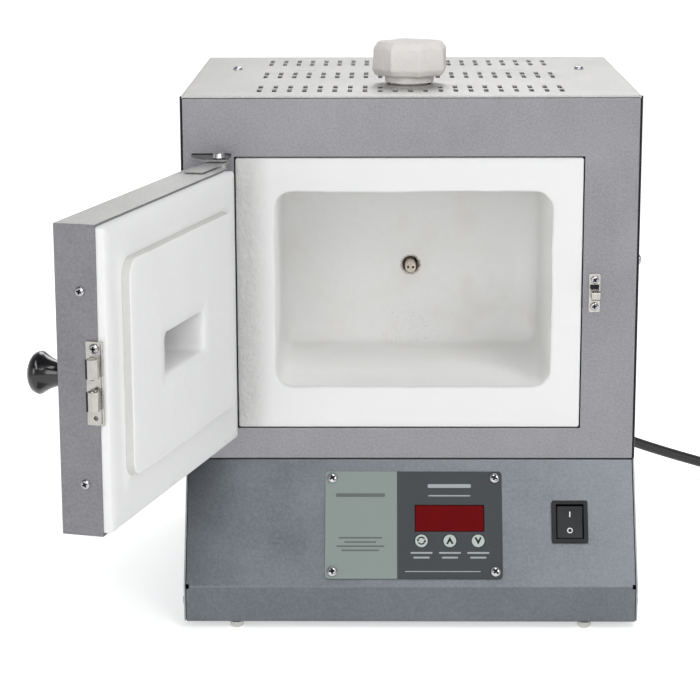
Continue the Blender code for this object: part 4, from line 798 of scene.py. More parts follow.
# %% Plain finishes
PLAIN = (
    (case_steel, "case_wrap"),
    (side_steel, "rear_panel"),
    (inner_steel, "chamber_deck"),
    (slot_shade_board, "insulation_left", "insulation_right", "insulation_top", "insulation_bottom",
     "insulation_back"),
    (element_metal, "element_left", "element_right"),
    (part_black, "thermocouple_block", "display_module", "relay"),
    (board_green, "circuit_board"),
    (core_steel, "transformer"),
    (strip_cream, "terminal_block"),
    (pane_glass, "door_window"),
    (screw_zinc, "knob_screw"),
    (nickel, "catch_spring_upper", "catch_spring_lower", "catch_adjuster_upper",
     "catch_adjuster_lower", "catch_ball_upper", "catch_ball_lower"),
    (probe_ceramic, "thermocouple"),
)
for finish, *nodes in PLAIN:
    for node in nodes:
        coat(frame["nodes"][node].data, finish)
print("nodes with a plain finish:", sum(len(row) - 1 for row in PLAIN))

# %% Rounded edges
SHARP = math.radians(30)


def applied(piece):
    """The mesh with its modifiers worked in."""
    bpy.context.view_layer.update()
    shape = piece.evaluated_get(bpy.context.evaluated_depsgraph_get())
    mesh = bpy.data.meshes.new_from_object(shape)
    bpy.data.objects.remove(piece)
    return mesh


def clean_copy(node):
    """A node's mesh with the triangles of its flat faces merged."""
    bm = bmesh.new()
    bm.from_mesh(frame["nodes"][node].data)
    bmesh.ops.remove_doubles(bm, verts=bm.verts[:], dist=0.000002)
    bmesh.ops.dissolve_limit(bm, angle_limit=math.radians(1.5), verts=bm.verts[:], edges=bm.edges[:])
    return bm


def soften(node, finish, width, segments=2):
    """Stands a copy of a node with rounded edges in its place."""
    copy = placed("work", mesh_of(clean_copy(node), node + "_edged", smooth=False))
    bevel = copy.modifiers.new("Round", "BEVEL")
    bevel.width = width
    bevel.segments = segments
    bevel.limit_method = "ANGLE"
    bevel.angle_limit = SHARP
    bevel.use_clamp_overlap = True
    mesh = applied(copy)
    mesh.shade_smooth()
    mesh.set_sharp_from_angle(angle=math.radians(40))
    flatter = placed("work", mesh)
    weigh = flatter.modifiers.new("Weigh", "WEIGHTED_NORMAL")
    weigh.mode = "FACE_AREA"
    weigh.keep_sharp = True
    mesh = applied(flatter)
    mesh.name = node + "_edged"
    return show(node + "_edged", mesh, finish, NODE_BODY[node], (node,))


SOFTENED = (
    (front_steel, 0.0004, "front_panel"),
    (shaded_base_steel, 0.0003, "base_chassis"),
    (side_steel, 0.0004, "base_side_left", "base_side_right"),
    (door_steel, 0.0005, "door_pan"),
    (door_steel, 0.0004, "window_frame"),
    (hinge_zinc, 0.0003, "hinge_leaf_top", "hinge_leaf_bottom"),
    # The hinge arms take the paler case steel: painted light on their upward faces.
    (case_steel, 0.0002, "hinge_arm_top", "hinge_arm_bottom"),
    (screw_zinc, 0.0003, "hinge_pin_top", "hinge_pin_bottom"),
    (nickel, 0.0002, "catch_body", "strike_plate"),
    (face_print, 0.0003, "faceplate"),
    (lens_red, 0.0003, "display_window"),
    (switch_black, 0.0005, "switch_bezel"),
    (rocker_black, 0.0006, "power_rocker"),
    (key_grey, 0.0002, "key_start", "key_up", "key_down"),
    (foot_metal, 0.0002, "foot_front_left", "foot_front_right", "foot_rear_left", "foot_rear_right"),
)
for finish, width, *nodes in SOFTENED:
    for node in nodes:
        soften(node, finish, width)
# The door pan's upward faces take the paler case steel: painted light on the top of the door, which is the same
# sheet as its darker ends.
door_shell = bpy.data.objects["door_pan_edged"].data
second_finish(door_shell, case_steel, lambda face: face.normal.z > 0.9)
print("nodes with rounded edges:", sum(len(row) - 2 for row in SOFTENED))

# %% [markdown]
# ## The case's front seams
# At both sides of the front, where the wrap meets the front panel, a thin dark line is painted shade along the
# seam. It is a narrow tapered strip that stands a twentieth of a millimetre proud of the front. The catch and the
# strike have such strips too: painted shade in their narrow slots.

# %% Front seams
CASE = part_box("case_wrap")
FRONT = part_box("front_panel")
SEAM_WIDTH = 0.0013


def strip(across, up, levels, trim=0.0001, facing="Y"):
    """A thin strip between two levels along Y or X, narrower at the second by the trim."""
    loops = []
    for level, inset in zip(levels, (0.0, trim)):
        left, right = across[0] + inset, across[1] - inset
        low, high = up[0] + inset, up[1] - inset
        corners = ((left, low), (right, low), (right, high), (left, high))
        loops.append([(side, level, z) if facing == "Y" else (level, side, z) for side, z in corners])
    return loft(loops)


# Each strip is painted shade along a seam.
for name, edge, inward in (("left", CASE[0].x, 1), ("right", CASE[1].x, -1)):
    across = sorted((edge, edge + inward * SEAM_WIDTH))
    seam = strip(across, (FRONT[0].z, CASE[1].z), (CASE[0].y + 0.0002, CASE[0].y - 0.00005))
    show("front_seam_" + name, mesh_of(seam, "front_seam_" + name), painted_shade, "case")
print("seams:", 2)

# %% [markdown]
# ## The firing chamber
# The chamber is one block of soft fibre. Its cavity has round corners all the way in, a
# broad curve where the walls meet the back, and a mouth whose edge is slightly rounded by
# use. It is lofted as a stack of loops from the block's outer face, over the front, in
# through the mouth and down to the back. Then noise moves the points by a fraction of a
# millimetre, as no fibre face is flat. Two holes are cut last: the vent and the ragged
# thermocouple hole.

# %% Chamber block
MIDDLE_X = (CASE[0].x + CASE[1].x) / 2
CAVITY_SIZE = (0.189, 0.136)
FLOOR_THICK = 0.0288
CAVITY_CENTRE = (MIDDLE_X + 0.0018, CHAMBER[0].z + FLOOR_THICK + CAVITY_SIZE[1] / 2)
CAVITY_DEPTH = 0.153
CAVITY_RADIUS = 0.012
BACK_CURVE = 0.016
MOUTH_ROUND = 0.0018
BLOCK_CORNER = 0.0015
EVEN_RIM = 0.004
WALL_STEPS = 19
CURVE_STEPS = 6
SIDE_POINTS = 34
CORNER_POINTS = 7
VENT_RADIUS = 0.0149
VENT_LENGTH = 0.06
PROBE_HOLE_LENGTH = 0.034
PROBE_HOLE_RADIUS = 0.0050


def unevenness(point, size, depth):
    """A smooth random height at a point."""
    return noise.noise(Vector(point) * (1 / size)) * depth


def roughen(bm, low, high, coarse, fine):
    """Moves the points that lie between two corners along their normals."""
    bm.normal_update()
    for vertex in bm.verts:
        place = vertex.co
        if all(a < c < b for a, c, b in zip(low, place, high)):
            lift = unevenness(place, 0.030, coarse) + unevenness(place, 0.006, fine)
            vertex.co = place + vertex.normal * lift


def wall_loop(size, radius, y, centre=CAVITY_CENTRE):
    """A rounded rectangle across the chamber at a depth."""
    loop = rounded_loop(centre, size, radius, CORNER_POINTS, SIDE_POINTS)
    return [(x, y, z) for x, z in loop]


def chamber_loops():
    """From the block's back, round its outside, over the front and into the cavity."""
    front, back = CHAMBER[0].y, CHAMBER[1].y
    outside = (CHAMBER[1].x - CHAMBER[0].x, CHAMBER[1].z - CHAMBER[0].z)
    middle = ((CHAMBER[0].x + CHAMBER[1].x) / 2, (CHAMBER[0].z + CHAMBER[1].z) / 2)
    loops = [wall_loop(outside, BLOCK_CORNER, y, middle) for y in (back, front + 0.0020, front + 0.0012)]
    for inset, y in ((0.0004, front + 0.0004), (0.0012, front)):
        loops.append(wall_loop(grown(outside, -2 * inset), BLOCK_CORNER, y, middle))
    mouth = grown(CAVITY_SIZE, 2 * MOUTH_ROUND)
    for share in (0.2, 0.4, 0.6, 0.8):
        centre = between(middle, CAVITY_CENTRE, share)
        loops.append(wall_loop(between(outside, mouth, share), 0.002 + 0.011 * share, front, centre))
    for angle in (0, 30, 60, 90):
        turn = math.radians(angle)
        grow = 2 * MOUTH_ROUND * (1 - math.sin(turn))
        y = front + MOUTH_ROUND * (1 - math.cos(turn))
        loops.append(wall_loop(grown(CAVITY_SIZE, grow), CAVITY_RADIUS + grow / 2, y))
    straight = CAVITY_DEPTH - BACK_CURVE
    for k in range(1, WALL_STEPS + 1):
        y = front + MOUTH_ROUND + (straight - MOUTH_ROUND) * k / WALL_STEPS
        loops.append(wall_loop(CAVITY_SIZE, CAVITY_RADIUS, y))
    for k in range(1, CURVE_STEPS + 1):
        turn = math.radians(90 * k / CURVE_STEPS)
        size = grown(CAVITY_SIZE, -2 * BACK_CURVE * (1 - math.cos(turn)))
        loops.append(wall_loop(size, CAVITY_RADIUS, front + straight + BACK_CURVE * math.sin(turn)))
    for share in (0.85, 0.7, 0.55, 0.4, 0.25, 0.1, 0.02):
        inside = [(side - 2 * BACK_CURVE) * share for side in CAVITY_SIZE]
        loops.append(wall_loop(inside, CAVITY_RADIUS * share, front + CAVITY_DEPTH))
    return loops


def cut_away(mesh, cutter, name):
    """The mesh with a cutter's shape taken out of it."""
    block = placed("work", mesh)
    tool = placed("tool", mesh_of(cutter, "tool", smooth=False))
    carve = block.modifiers.new("Carve", "BOOLEAN")
    carve.operation = "DIFFERENCE"
    carve.solver = "EXACT"
    carve.object = tool
    result = applied(block)
    bpy.data.objects.remove(tool)
    result.name = name
    return result


def ragged_hole(place, length, radius):
    """A cutter for a hand-cut hole along Y, wide and uneven at the front."""
    loops = []
    for along, grow in ((0.0, 1.30), (0.14, 1.16), (0.30, 1.02), (1.0, 1.0)):
        loop = []
        for x, z, _ in circle(radius, 0, 28):
            wobble = 1 + 0.16 * noise.noise(Vector((x, z, along * 0.004)) * 520)
            size = grow * (wobble if along < 0.9 else 1)
            loop.append((place[0] + x * size, place[1] + length * along, place[2] + z * size))
        loops.append(loop)
    return loft(loops)


block = loft(chamber_loops())
front_low = (CHAMBER[0].x + EVEN_RIM, CHAMBER[0].y - 0.001, CHAMBER[0].z + EVEN_RIM)
front_high = (CHAMBER[1].x - EVEN_RIM, CHAMBER[0].y + CAVITY_DEPTH + 0.001, CHAMBER[1].z - EVEN_RIM)
roughen(block, front_low, front_high, 0.0009, 0.00028)
for vertex in block.verts:
    vertex.co.y = max(vertex.co.y, CHAMBER[0].y)
mesh = mesh_of(block, "chamber_block", sharp=50)
vent_place = middle_of(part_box("vent_plug"))
vent_place.z = CAVITY_CENTRE[1] + VENT_LENGTH
vent = moved(lathe(((VENT_RADIUS, 0), (VENT_RADIUS, VENT_LENGTH)), 40), vent_place)
probe_hole = (PROBE_CENTRE.x, CHAMBER[0].y + CAVITY_DEPTH - 0.002, PROBE_CENTRE.z)
mesh = cut_away(mesh, vent, "chamber_block")
mesh = cut_away(mesh, ragged_hole(probe_hole, PROBE_HOLE_LENGTH, PROBE_HOLE_RADIUS), "chamber_block")
mesh.shade_smooth()
mesh.set_sharp_from_angle(angle=math.radians(50))
show("chamber_block", mesh, chamber_fibre, "case", ("firing_chamber",))
print("chamber block:", len(mesh.polygons), "faces")

# %% [markdown]
# ## The door's lining
# The lining is a fibre board with a raised pad that enters the chamber, and a slot through it for the window. It
# is lofted like the chamber: loops run from the board's back edge over its face, up the side of the pad, across it
# and down into the slot. The pad's sides take a greyer finish than its face: painted shade along the pad's side.
# The door stands open, so the loops are made as if it were shut and then turned about the hinge.

# %% Door lining
HINGE = next(joint for joint in frame["joints"] if joint["name"] == "door_swing")
HINGE_PLACE = Vector((HINGE["pos_m"][0], HINGE["pos_m"][1], 0))
DOOR_OPEN = math.radians(105.3)
DOOR_PLACE = Matrix.Translation(HINGE_PLACE) @ Matrix.Rotation(-DOOR_OPEN, 4, "Z")
DOOR_LEFT, DOOR_LENGTH = 0.0190, 0.2302
DOOR_INNER, DOOR_DEPTH = 0.0178, 0.0305
DOOR_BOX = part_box("door_pan")
LINING_INSET = 0.0016
PAD_HEIGHT = 0.0053
PAD_ROUND = 0.0016
PAD_SIZE = (0.184, 0.131)
PAD_CORNER = 0.0100
PAD_WALL = (6, 7, 8)
PAD_CENTRE = (CAVITY_CENTRE[0] - HINGE_PLACE.x, CAVITY_CENTRE[1])
SLOT_CENTRE = (DOOR_LEFT + DOOR_LENGTH / 2, (DOOR_BOX[0].z + DOOR_BOX[1].z) / 2)
SLOT_SIZE = (0.070, 0.026)
SLOT_CORNER = 0.005
SLOT_DEPTH = 0.0306


def lining_loops():
    """Loops in the shut door's own frame, counted from the hinge."""
    outside = grown((DOOR_LENGTH, DOOR_BOX[1].z - DOOR_BOX[0].z), -2 * LINING_INSET)
    face = DOOR_INNER
    back = face - SLOT_DEPTH + 0.0034
    top = face + PAD_HEIGHT
    inner = grown(outside, -0.0024)
    loops = [
        wall_loop(SLOT_SIZE, SLOT_CORNER, back, SLOT_CENTRE),
        wall_loop(outside, BLOCK_CORNER, back, SLOT_CENTRE),
        wall_loop(outside, BLOCK_CORNER, face - 0.0012, SLOT_CENTRE),
        wall_loop(inner, BLOCK_CORNER, face, SLOT_CENTRE),
    ]
    for share in (0.33, 0.66, 1.0):
        size = between(inner, grown(PAD_SIZE, 0.0016), share)
        centre = between(SLOT_CENTRE, PAD_CENTRE, share)
        loops.append(wall_loop(size, BLOCK_CORNER + 0.0093 * share, face, centre))
    loops.append(wall_loop(PAD_SIZE, PAD_CORNER, face + 0.0008, PAD_CENTRE))
    for angle in (0, 30, 60, 90):
        turn = math.radians(angle)
        inset = 2 * PAD_ROUND * (1 - math.cos(turn))
        y = top - PAD_ROUND * (1 - math.sin(turn))
        loops.append(wall_loop(grown(PAD_SIZE, -inset), PAD_CORNER - inset / 4, y, PAD_CENTRE))
    for k in range(1, 8):
        share = k / 7
        size = between(grown(PAD_SIZE, -2 * PAD_ROUND), grown(SLOT_SIZE, 0.002), share)
        centre = between(PAD_CENTRE, SLOT_CENTRE, share)
        loops.append(wall_loop(size, 0.0092 - 0.0032 * share, top, centre))
    for down in (0.001, 0.004, 0.010, 0.018, 0.026):
        loops.append(wall_loop(SLOT_SIZE, SLOT_CORNER, top - down, SLOT_CENTRE))
    return loops


loops = lining_loops()
lining = loft(loops, closed=True)
low = (DOOR_LEFT + EVEN_RIM, DOOR_INNER - EVEN_RIM, DOOR_BOX[0].z + EVEN_RIM)
high = (DOOR_LEFT + DOOR_LENGTH - EVEN_RIM, DOOR_INNER + 0.01, DOOR_BOX[1].z - EVEN_RIM)
roughen(lining, low, high, 0.0006, 0.00022)
mesh = mesh_of(lining, "door_lining", sharp=50)
mesh.transform(DOOR_PLACE)
show("door_lining", mesh, door_fibre, "door", ("door_insulation",))
ring = len(loops[0])
# The rings on the pad's side take the greyer fibre: painted shade.
second_finish(mesh, pad_side_shade, lambda face: face.index // ring in PAD_WALL)
print("door lining:", len(mesh.polygons), "faces")

# %% [markdown]
# ## The vent plug
# The plug is cut and rubbed by hand from a soft brick, so its eight flats are uneven and
# its edges are worn round. Remeshing the working shape into small even cells, smoothing
# it and moving it with slow noise gives exactly that.

# %% Vent plug


def hand_shaped(node, finish, cell, passes, lift):
    """A node as an even, smoothed and slightly uneven mesh."""
    copy = placed("work", mesh_of(clean_copy(node), node + "_shaped", smooth=False))
    remesh = copy.modifiers.new("Cells", "REMESH")
    remesh.mode = "VOXEL"
    remesh.voxel_size = cell
    smooth = copy.modifiers.new("Wear", "SMOOTH")
    smooth.factor = 0.5
    smooth.iterations = passes
    bm = bmesh.new()
    bm.from_mesh(applied(copy))
    bm.normal_update()
    for vertex in bm.verts:
        push = unevenness(vertex.co, 0.014, lift) + unevenness(vertex.co, 0.004, lift * 0.3) - lift
        vertex.co += vertex.normal * push
    return show(node + "_shaped", mesh_of(bm, node + "_shaped", sharp=70), finish, NODE_BODY[node],
                (node,))


plug = hand_shaped("vent_plug", plug_ceramic, 0.0010, 1, 0.0006)
print("vent plug:", len(plug.data.polygons), "faces")

# %% [markdown]
# ## The door knob
# A flared phenolic knob: a narrow neck, a trumpet that opens to a thin rim, and a domed
# face. It is turned on a lathe from a smooth profile.

# %% Door knob
KNOB_ALONG = 0.200
KNOB_HEIGHT = 0.2245
KNOB_ON_DOOR = (DOOR_LEFT + KNOB_ALONG, DOOR_INNER - DOOR_DEPTH - 0.0004, KNOB_HEIGHT)
FLARE_STEPS, DOME_STEPS = 12, 7
KNOB_PROFILE = [(0.0, 0.0), (0.0069, 0.0), (0.0073, 0.0008), (0.0070, 0.0022)]
for k in range(FLARE_STEPS + 1):
    share = k / FLARE_STEPS
    KNOB_PROFILE.append((0.0066 + 0.0062 * share ** 2.4, 0.003 + 0.0195 * share))
KNOB_PROFILE.append((0.0130, 0.0234))
for k in range(DOME_STEPS + 1):
    angle = math.radians(90 * k / DOME_STEPS)
    KNOB_PROFILE.append((0.0127 * math.cos(angle), 0.0242 + 0.0063 * math.sin(angle)))
mesh = mesh_of(moved(lathe(KNOB_PROFILE, 64), KNOB_ON_DOOR, "-Y"), "door_knob_turned", sharp=50)
mesh.transform(DOOR_PLACE)
show("door_knob_turned", mesh, knob_black, "door", ("door_knob",))
print("knob profile points:", len(KNOB_PROFILE))

# %% [markdown]
# ## Screws
# Every screw is a pan head with a cross recess. The head is turned, and a cross of two tapered bars is cut out of
# it. The recess's faces take a near-black finish: painted shade in the recess. Each screw stands a hair above the
# sheet it holds.

# %% Screw heads


def cross_bar(length, width, depth, top):
    """One tapered bar of the cross recess."""
    loops = []
    for level, size in ((top + 0.0004, 1.1), (top - depth, 0.45)):
        x, y = length / 2 * size, width / 2 * size
        loops.append([(x, y, level), (-x, y, level), (-x, -y, level), (x, -y, level)])
    return loft(loops)


def screw_mesh(radius, height):
    """A pan head with a cross recess, its seat at z = 0, and which of its faces take painted shade."""
    profile = [(0, 0), (radius, 0), (radius, height * 0.30)]
    for k in range(1, 6):
        angle = math.radians(90 * k / 6)
        out, rise = 0.35 + 0.65 * math.cos(angle), 0.30 + 0.70 * math.sin(angle)
        profile.append((radius * out, height * rise))
    profile.append((0, height))
    head = mesh_of(lathe(profile, 32), "screw_head")
    for turn in (0, math.pi / 2):
        bar = cross_bar(radius * 1.20, radius * 0.42, height * 0.7, height)
        bar.transform(Matrix.Rotation(turn, 4, "Z"))
        head = cut_away(head, bar, "screw_head")
    head.shade_smooth()
    head.set_sharp_from_angle(angle=math.radians(35))
    shaded_faces = []
    for face in head.polygons:
        near_axis = math.hypot(face.center.x, face.center.y) < radius * 0.62
        shaded_faces.append(near_axis and face.center.z < height * 0.93)
    return head, shaded_faces


SMALL_HEAD = screw_mesh(0.0029, 0.0016)
LARGE_HEAD = screw_mesh(0.0036, 0.0021)
SEAT = 0.0001


def screw(name, head, base, place, aim, body, twist):
    """A copy of a head at a place in a base's frame, with its cross at some turn."""
    mesh = head[0].copy()
    mesh.transform(Matrix.Rotation(math.radians(twist), 4, "Z"))
    mesh.transform(base @ Matrix.Translation(place) @ AIM[aim])
    made = show(name, mesh, screw_zinc, body)
    # The recess takes painted shade.
    second_finish(mesh, painted_shade, lambda face: head[1][face.index])
    return made


WORLD = Matrix.Identity(4)
CASE_HALF = 0.156
SIDE_SCREW = (0.008, 0.2495)
BASE_SCREW = (-0.026, 0.0154)
TOP_SCREW = (0.1275, 0.177)
PANEL_Y = CASE[0].y
for name, side, aim in (("left", -1, "-X"), ("right", 1, "+X")):
    edge = MIDDLE_X + side * (CASE_HALF + SEAT)
    top_place = (MIDDLE_X + side * TOP_SCREW[0], PANEL_Y + TOP_SCREW[1], CASE[1].z + SEAT)
    for kind, place, facing, twist in (
        ("side", (edge, PANEL_Y + SIDE_SCREW[0], SIDE_SCREW[1]), aim, 20 * side),
        ("base", (edge, PANEL_Y + BASE_SCREW[0], BASE_SCREW[1]), aim, 35),
        ("top", top_place, "+Z", 12 + 30 * side),
    ):
        screw(kind + "_screw_" + name, LARGE_HEAD, WORLD, place, facing, "case", twist)

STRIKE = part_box("strike_plate")
STRIKE_MIDDLE = middle_of(STRIKE)
STRIKE_THICK = 0.0014
STRIKE_SCREW_SPREAD = 0.0092
strike_face = PANEL_Y - STRIKE_THICK - SEAT
for name, side, twist in (("upper", 1, 40), ("lower", -1, 10)):
    place = (STRIKE_MIDDLE.x, strike_face, STRIKE_MIDDLE.z + side * STRIKE_SCREW_SPREAD)
    screw("strike_screw_" + name, SMALL_HEAD, WORLD, place, "-Y", "case", twist)

DOOR_END = DOOR_LEFT + DOOR_LENGTH
DOOR_END_SCREWS = (("lower", 0.167, 25), ("upper", 0.2812, -15))
for name, height, twist in DOOR_END_SCREWS:
    place = (DOOR_END + SEAT, DOOR_INNER - 0.0152, height)
    screw("door_end_screw_" + name, SMALL_HEAD, DOOR_PLACE, place, "+X", "door", twist)
CATCH_MIDDLE = DOOR_INNER - 0.0069
CATCH_SCREW = (DOOR_END + 0.0018, CATCH_MIDDLE, STRIKE_MIDDLE.z + 0.0206)
catch_screw = screw("catch_screw_cross", SMALL_HEAD, DOOR_PLACE, CATCH_SCREW, "+X", "door", 0)
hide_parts("catch_screw")
print("screws on the case, strike and door:", 11)

# %% [markdown]
# ## Painted shade in the strike and the catch
# The strike has a small opening above its tongue, painted dark: painted shade in the opening. The catch has a
# narrow slot along its plate, and the far sides of its two barrels take the same dark finish: painted shade on the
# slot and on the barrels' far sides.

# %% Painted shade in the opening above the strike's tongue
OPENING_ABOVE = 0.0046
OPENING_HALF = (0.0031, 0.0013)
# A dark patch in the opening: painted shade.
opening_z = STRIKE_MIDDLE.z + OPENING_ABOVE
opening = strip((STRIKE_MIDDLE.x - OPENING_HALF[0], STRIKE_MIDDLE.x + OPENING_HALF[0]),
                (opening_z - OPENING_HALF[1], opening_z + OPENING_HALF[1]),
                (strike_face + 0.0001, strike_face - 0.00004))
opening_mesh = mesh_of(opening, "strike_opening_shade", smooth=False)
show("strike_opening_shade", opening_mesh, painted_shade, "case")
print("strike opening at", round(opening_z, 4))

# %% Painted shade in the catch's slot and on its barrels
CATCH_FACE = DOOR_END + 0.0016
CATCH_SLOT = (CATCH_MIDDLE + 0.0036, CATCH_MIDDLE + 0.0041)
CATCH_SLOT_HALF = 0.0235
slot = strip(CATCH_SLOT, (STRIKE_MIDDLE.z - CATCH_SLOT_HALF, STRIKE_MIDDLE.z + CATCH_SLOT_HALF),
             (CATCH_FACE - 0.0002, CATCH_FACE + 0.00006), 0.00008, "X")
catch_slot_shade = mesh_of(slot, "catch_slot_shade", smooth=False)
catch_slot_shade.transform(DOOR_PLACE)
show("catch_slot_shade", catch_slot_shade, painted_shade, "door")
SHUT = DOOR_PLACE.inverted()


def on_far_side(face):
    """Whether a face is on a barrel and looks away from the chamber when the door is shut."""
    on_barrel = (SHUT @ face.center).x > CATCH_FACE + 0.0005
    return on_barrel and (SHUT.to_3x3() @ face.normal).y < -0.5


# The barrels' far sides take painted shade.
second_finish(bpy.data.objects["catch_body_edged"].data, painted_shade, on_far_side)
print("catch face at", round(CATCH_FACE, 4), "from the hinge")

# %% [markdown]
# ## The control panel's small parts
# The control parts lie on the sloping front, so a matrix takes places on the slope to
# places in the world: x across, y up the slope and z out of it. The marks on the keys and
# the rocker are printed: flat shapes a twentieth of a millimetre thick.

# %% Marks on keys and rocker
SLOPE_RISE, SLOPE_RUN = 0.0795, 0.043
SLOPE_FOOT = 0.0305
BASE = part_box("base_chassis")
SLOPE = (Matrix.Translation((MIDDLE_X, BASE[0].y, SLOPE_FOOT))
         @ Matrix.Rotation(math.atan2(SLOPE_RISE, SLOPE_RUN), 4, "X"))
KEY_PLACES = {"key_start": 0.0076, "key_up": 0.0272, "key_down": 0.0467}
KEY_ROW = 0.0319
KEY_TOP = 0.00252
INK = 0.00005
CHEVRON = ((0, 0.0026), (0.0025, -0.0024), (0.0013, -0.0027), (0, -0.0004), (-0.0013, -0.0027),
           (-0.0025, -0.0024))


def flat(outline, thick=INK):
    """A thin printed shape from an outline."""
    return loft([[(x, y, z) for x, y in outline] for z in (0, thick)])


def arc_band(radius, width, start, end, steps=14):
    """The outline of part of a ring."""
    angles = [math.radians(start + (end - start) * k / steps) for k in range(steps + 1)]
    outer, inner = [[(size * math.cos(a), size * math.sin(a)) for a in angles]
                    for size in (radius + width / 2, radius - width / 2)]
    return outer + inner[::-1]


def arrow_head(place, direction, size):
    """A triangle that points along a direction in degrees."""
    turn = math.radians(direction)
    points = ((size, 0), (-size * 0.5, size * 0.75), (-size * 0.5, -size * 0.75))
    return [(place[0] + x * math.cos(turn) - y * math.sin(turn),
             place[1] + x * math.sin(turn) + y * math.cos(turn)) for x, y in points]


def chevron(place, up):
    """A bold open arrow that points up or, with up -1, down."""
    return [(place[0] + x, place[1] + y * up) for x, y in CHEVRON][::up]


def mark(name, shapes, finish, matrix, body):
    """Printed shapes on a moving piece."""
    mesh = mesh_of(joined(*shapes), name, smooth=False)
    mesh.transform(matrix)
    return show(name, mesh, finish, body)


TURN_ARROW = (0.0024, 0.0003)
start_marks = [flat(arc_band(TURN_ARROW[0], 0.0009, start, start + 120)) for start in (30, 210)]
for side, direction in ((-1, 262), (1, 82)):
    start_marks.append(flat(arrow_head((side * TURN_ARROW[0], -side * TURN_ARROW[1]), direction, 0.0013)))
up_marks = [flat(chevron((0, 0.0002), 1))]
down_marks = [flat(chevron((0, -0.0002), -1))]
for node, shapes in (("key_start", start_marks), ("key_up", up_marks), ("key_down", down_marks)):
    matrix = SLOPE @ Matrix.Translation((KEY_PLACES[node], KEY_ROW, KEY_TOP))
    mark(node + "_mark", shapes, print_dark, matrix, NODE_BODY[node])

ROCKER_PLACE = (0.1102, 0.0455, -0.0020)
ROCKER_TILT = math.radians(8)
ROCKER_FALL, ROCKER_HALF = 0.0016, 0.0112
FACE_TILT = math.atan2(ROCKER_FALL, ROCKER_HALF)
MARK_ALONG, MARK_LIFT = 0.0056, 0.00342
BAR_HALF = (0.00035, 0.0018)
ROCKER = SLOPE @ Matrix.Translation(ROCKER_PLACE) @ Matrix.Rotation(ROCKER_TILT, 4, "X")
bar = [(x * BAR_HALF[0], y * BAR_HALF[1]) for x, y in ((1, 1), (-1, 1), (-1, -1), (1, -1))]
ring = arc_band(0.0016, 0.0006, 0, 359.9, 30)
for name, outline, side in (("rocker_on_mark", bar, 1), ("rocker_off_mark", ring, -1)):
    lift = Matrix.Translation((0, side * MARK_ALONG, MARK_LIFT)) @ Matrix.Rotation(side * FACE_TILT, 4, "X")
    mark(name, [flat(outline)], print_white, ROCKER @ lift, "rocker")
print("marks:", 5)

# %% [markdown]
# ## Faceplate screws and printed rules
# Four screws hold the faceplate at its corners. Plain printed bars stand on it where a
# panel has its lettering: pale ones on the dark part and dark ones on the pale part. Each
# row below is a bar's centre on the slope, its length and its thickness.

# %% Faceplate screws and printed rules
PLATE_TOP = 0.0019
PLATE_MIDDLE = (0.0023, 0.0432)
PLATE_SCREW = (0.0562, 0.0328)
PLATE_CORNERS = (("upper_left", -1, 1, 30), ("upper_right", 1, 1, -20), ("lower_left", -1, -1, 5),
                 ("lower_right", 1, -1, 50))
for name, across, up, twist in PLATE_CORNERS:
    place = (PLATE_MIDDLE[0] + across * PLATE_SCREW[0], PLATE_MIDDLE[1] + up * PLATE_SCREW[1],
             PLATE_TOP + SEAT)
    screw("panel_screw_" + name, LARGE_HEAD, SLOPE, place, "+Z", "case", twist)


def rule(x, y, length, thick):
    """A printed bar on the plate."""
    return flat(rounded_loop((x, y), (length, thick), thick * 0.3, 2))


TITLE_X, ADDRESS_X = 0.0271, -0.0345
LIGHT_RULES = [(TITLE_X, 0.0705, 0.030, 0.0026), (TITLE_X, 0.0636, 0.029, 0.0009)]
for x in KEY_PLACES.values():
    LIGHT_RULES += [(x, 0.0235, 0.0150, 0.0012), (x, 0.0202, 0.0110, 0.0012)]
LIGHT_RULES.append((0.0222, 0.0105, 0.0520, 0.0006))
DARK_RULES = [(ADDRESS_X, 0.0640, 0.0340, 0.0026)]
for y, length in ((0.0340, 0.0300), (0.0310, 0.0220), (0.0281, 0.0330), (0.0252, 0.0260)):
    DARK_RULES.append((ADDRESS_X, y, length, 0.0011))
on_plate = SLOPE @ Matrix.Translation((0, 0, PLATE_TOP))
for tone, rows, finish in (("light", LIGHT_RULES, rule_light), ("dark", DARK_RULES, rule_dark)):
    bars = [rule(*row) for row in rows]
    mark("faceplate_" + tone + "_rules", bars, finish, on_plate, "case")
print("rules on the plate:", len(LIGHT_RULES) + len(DARK_RULES))

# %% [markdown]
# ## Light and floor
# A kiln like this is shown on a white table in a white room. Five softboxes light it: three
# from the front, which keep the chamber bright inside, one high up and one behind. The
# world is dimmer overhead, so that the sloping panel, which faces up, looks darker than the
# upright front, and brighter behind than in front. The floor glows a little near the kiln
# and more behind it, which makes the table and the wall one white.

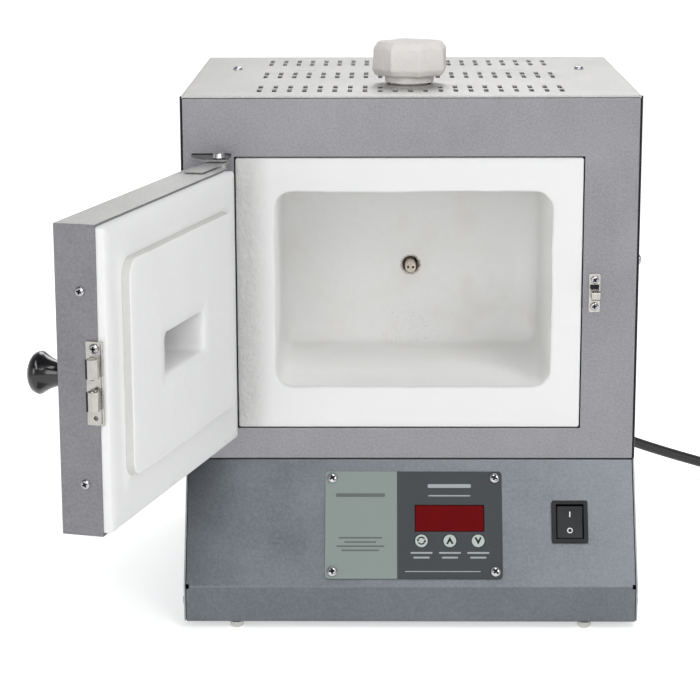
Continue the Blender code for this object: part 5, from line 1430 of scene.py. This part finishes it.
# %% Studio
FLOOR_SIZE = 30.0
FRONT_WORLD = 0.34
FLOOR_GLOW = ((0.0, 0.20), (0.22, 0.24), (0.34, 0.50), (0.50, 0.52), (1.0, 0.84))
floor_mesh = bpy.data.meshes.new("studio_floor")
half = FLOOR_SIZE / 2
corners = [(-half, -half, 0), (half, -half, 0), (half, half, 0), (-half, half, 0)]
floor_mesh.from_pydata(corners, [], [(0, 1, 2, 3)])
studio_floor = placed("studio_floor", floor_mesh)
floor_white = Finish("floor_white", (0.93, 0.93, 0.93), 0.75)
paper = floor_white.grain(6, 2.0, 0.5)
floor_white.feed("Base Color", floor_white.blend(paper, (0.925, 0.925, 0.925), (0.935, 0.935, 0.935)))
glow = floor_white.steps(floor_white.axis("Y", -1.6, 2.4), *FLOOR_GLOW)
floor_white.feed("Emission Color", glow)
floor_white.feed("Emission Strength", 1.0)
coat(floor_mesh, floor_white)

world = bpy.data.worlds.new("studio_world")
bpy.context.scene.world = world
world.use_nodes = True
sky = world.node_tree
backdrop = sky.nodes["Background"]
sky_place, sky_split, sky_ramp, front_to_back = [
    sky.nodes.new("ShaderNode" + kind) for kind in ("TexCoord", "SeparateXYZ", "ValToRGB", "MapRange")]
sky.links.new(sky_place.outputs["Generated"], sky_split.inputs[0])
sky.links.new(sky_split.outputs["Z"], sky_ramp.inputs[0])
sky.links.new(sky_ramp.outputs["Color"], backdrop.inputs["Color"])
stops = sky_ramp.color_ramp.elements
stops[0].position, stops[0].color = 0.12, (1, 1, 1, 1)
stops[1].position, stops[1].color = 0.62, (0.22, 0.225, 0.235, 1)
sky.links.new(sky_split.outputs["Y"], front_to_back.inputs["Value"])
for socket, value in (("From Min", -0.6), ("From Max", 0.4), ("To Min", FRONT_WORLD), ("To Max", 1.0)):
    front_to_back.inputs[socket].default_value = value
sky.links.new(front_to_back.outputs["Result"], backdrop.inputs["Strength"])


def softbox(name, place, aim, size, power):
    """A square area light that looks at a point."""
    light = bpy.data.lights.new(name, "AREA")
    light.shape = "SQUARE"
    light.size = size
    light.energy = power
    lamp = placed(name, light)
    lamp.location = place
    lamp.rotation_euler = (Vector(aim) - Vector(place)).to_track_quat("-Z", "Y").to_euler()


KILN_MIDDLE = (0.03, 0.0, 0.20)
SOFTBOXES = (
    ("key_light", (1.0, -1.75, 1.6), KILN_MIDDLE, 1.0, 16),
    ("fill_light", (-1.4, -2.1, 0.8), KILN_MIDDLE, 1.4, 6),
    ("front_light", (-0.25, -2.8, 1.05), KILN_MIDDLE, 1.3, 17),
    ("high_light", (0.25, -1.25, 2.1), (0.03, -0.05, 0.18), 0.9, 11),
    ("back_light", (0.2, 1.4, 1.7), (0.03, 0.1, 0.36), 1.0, 14),
)
for row in SOFTBOXES:
    softbox(*row)
bpy.context.scene.view_settings.view_transform = "Standard"
print("lights:", len(SOFTBOXES))
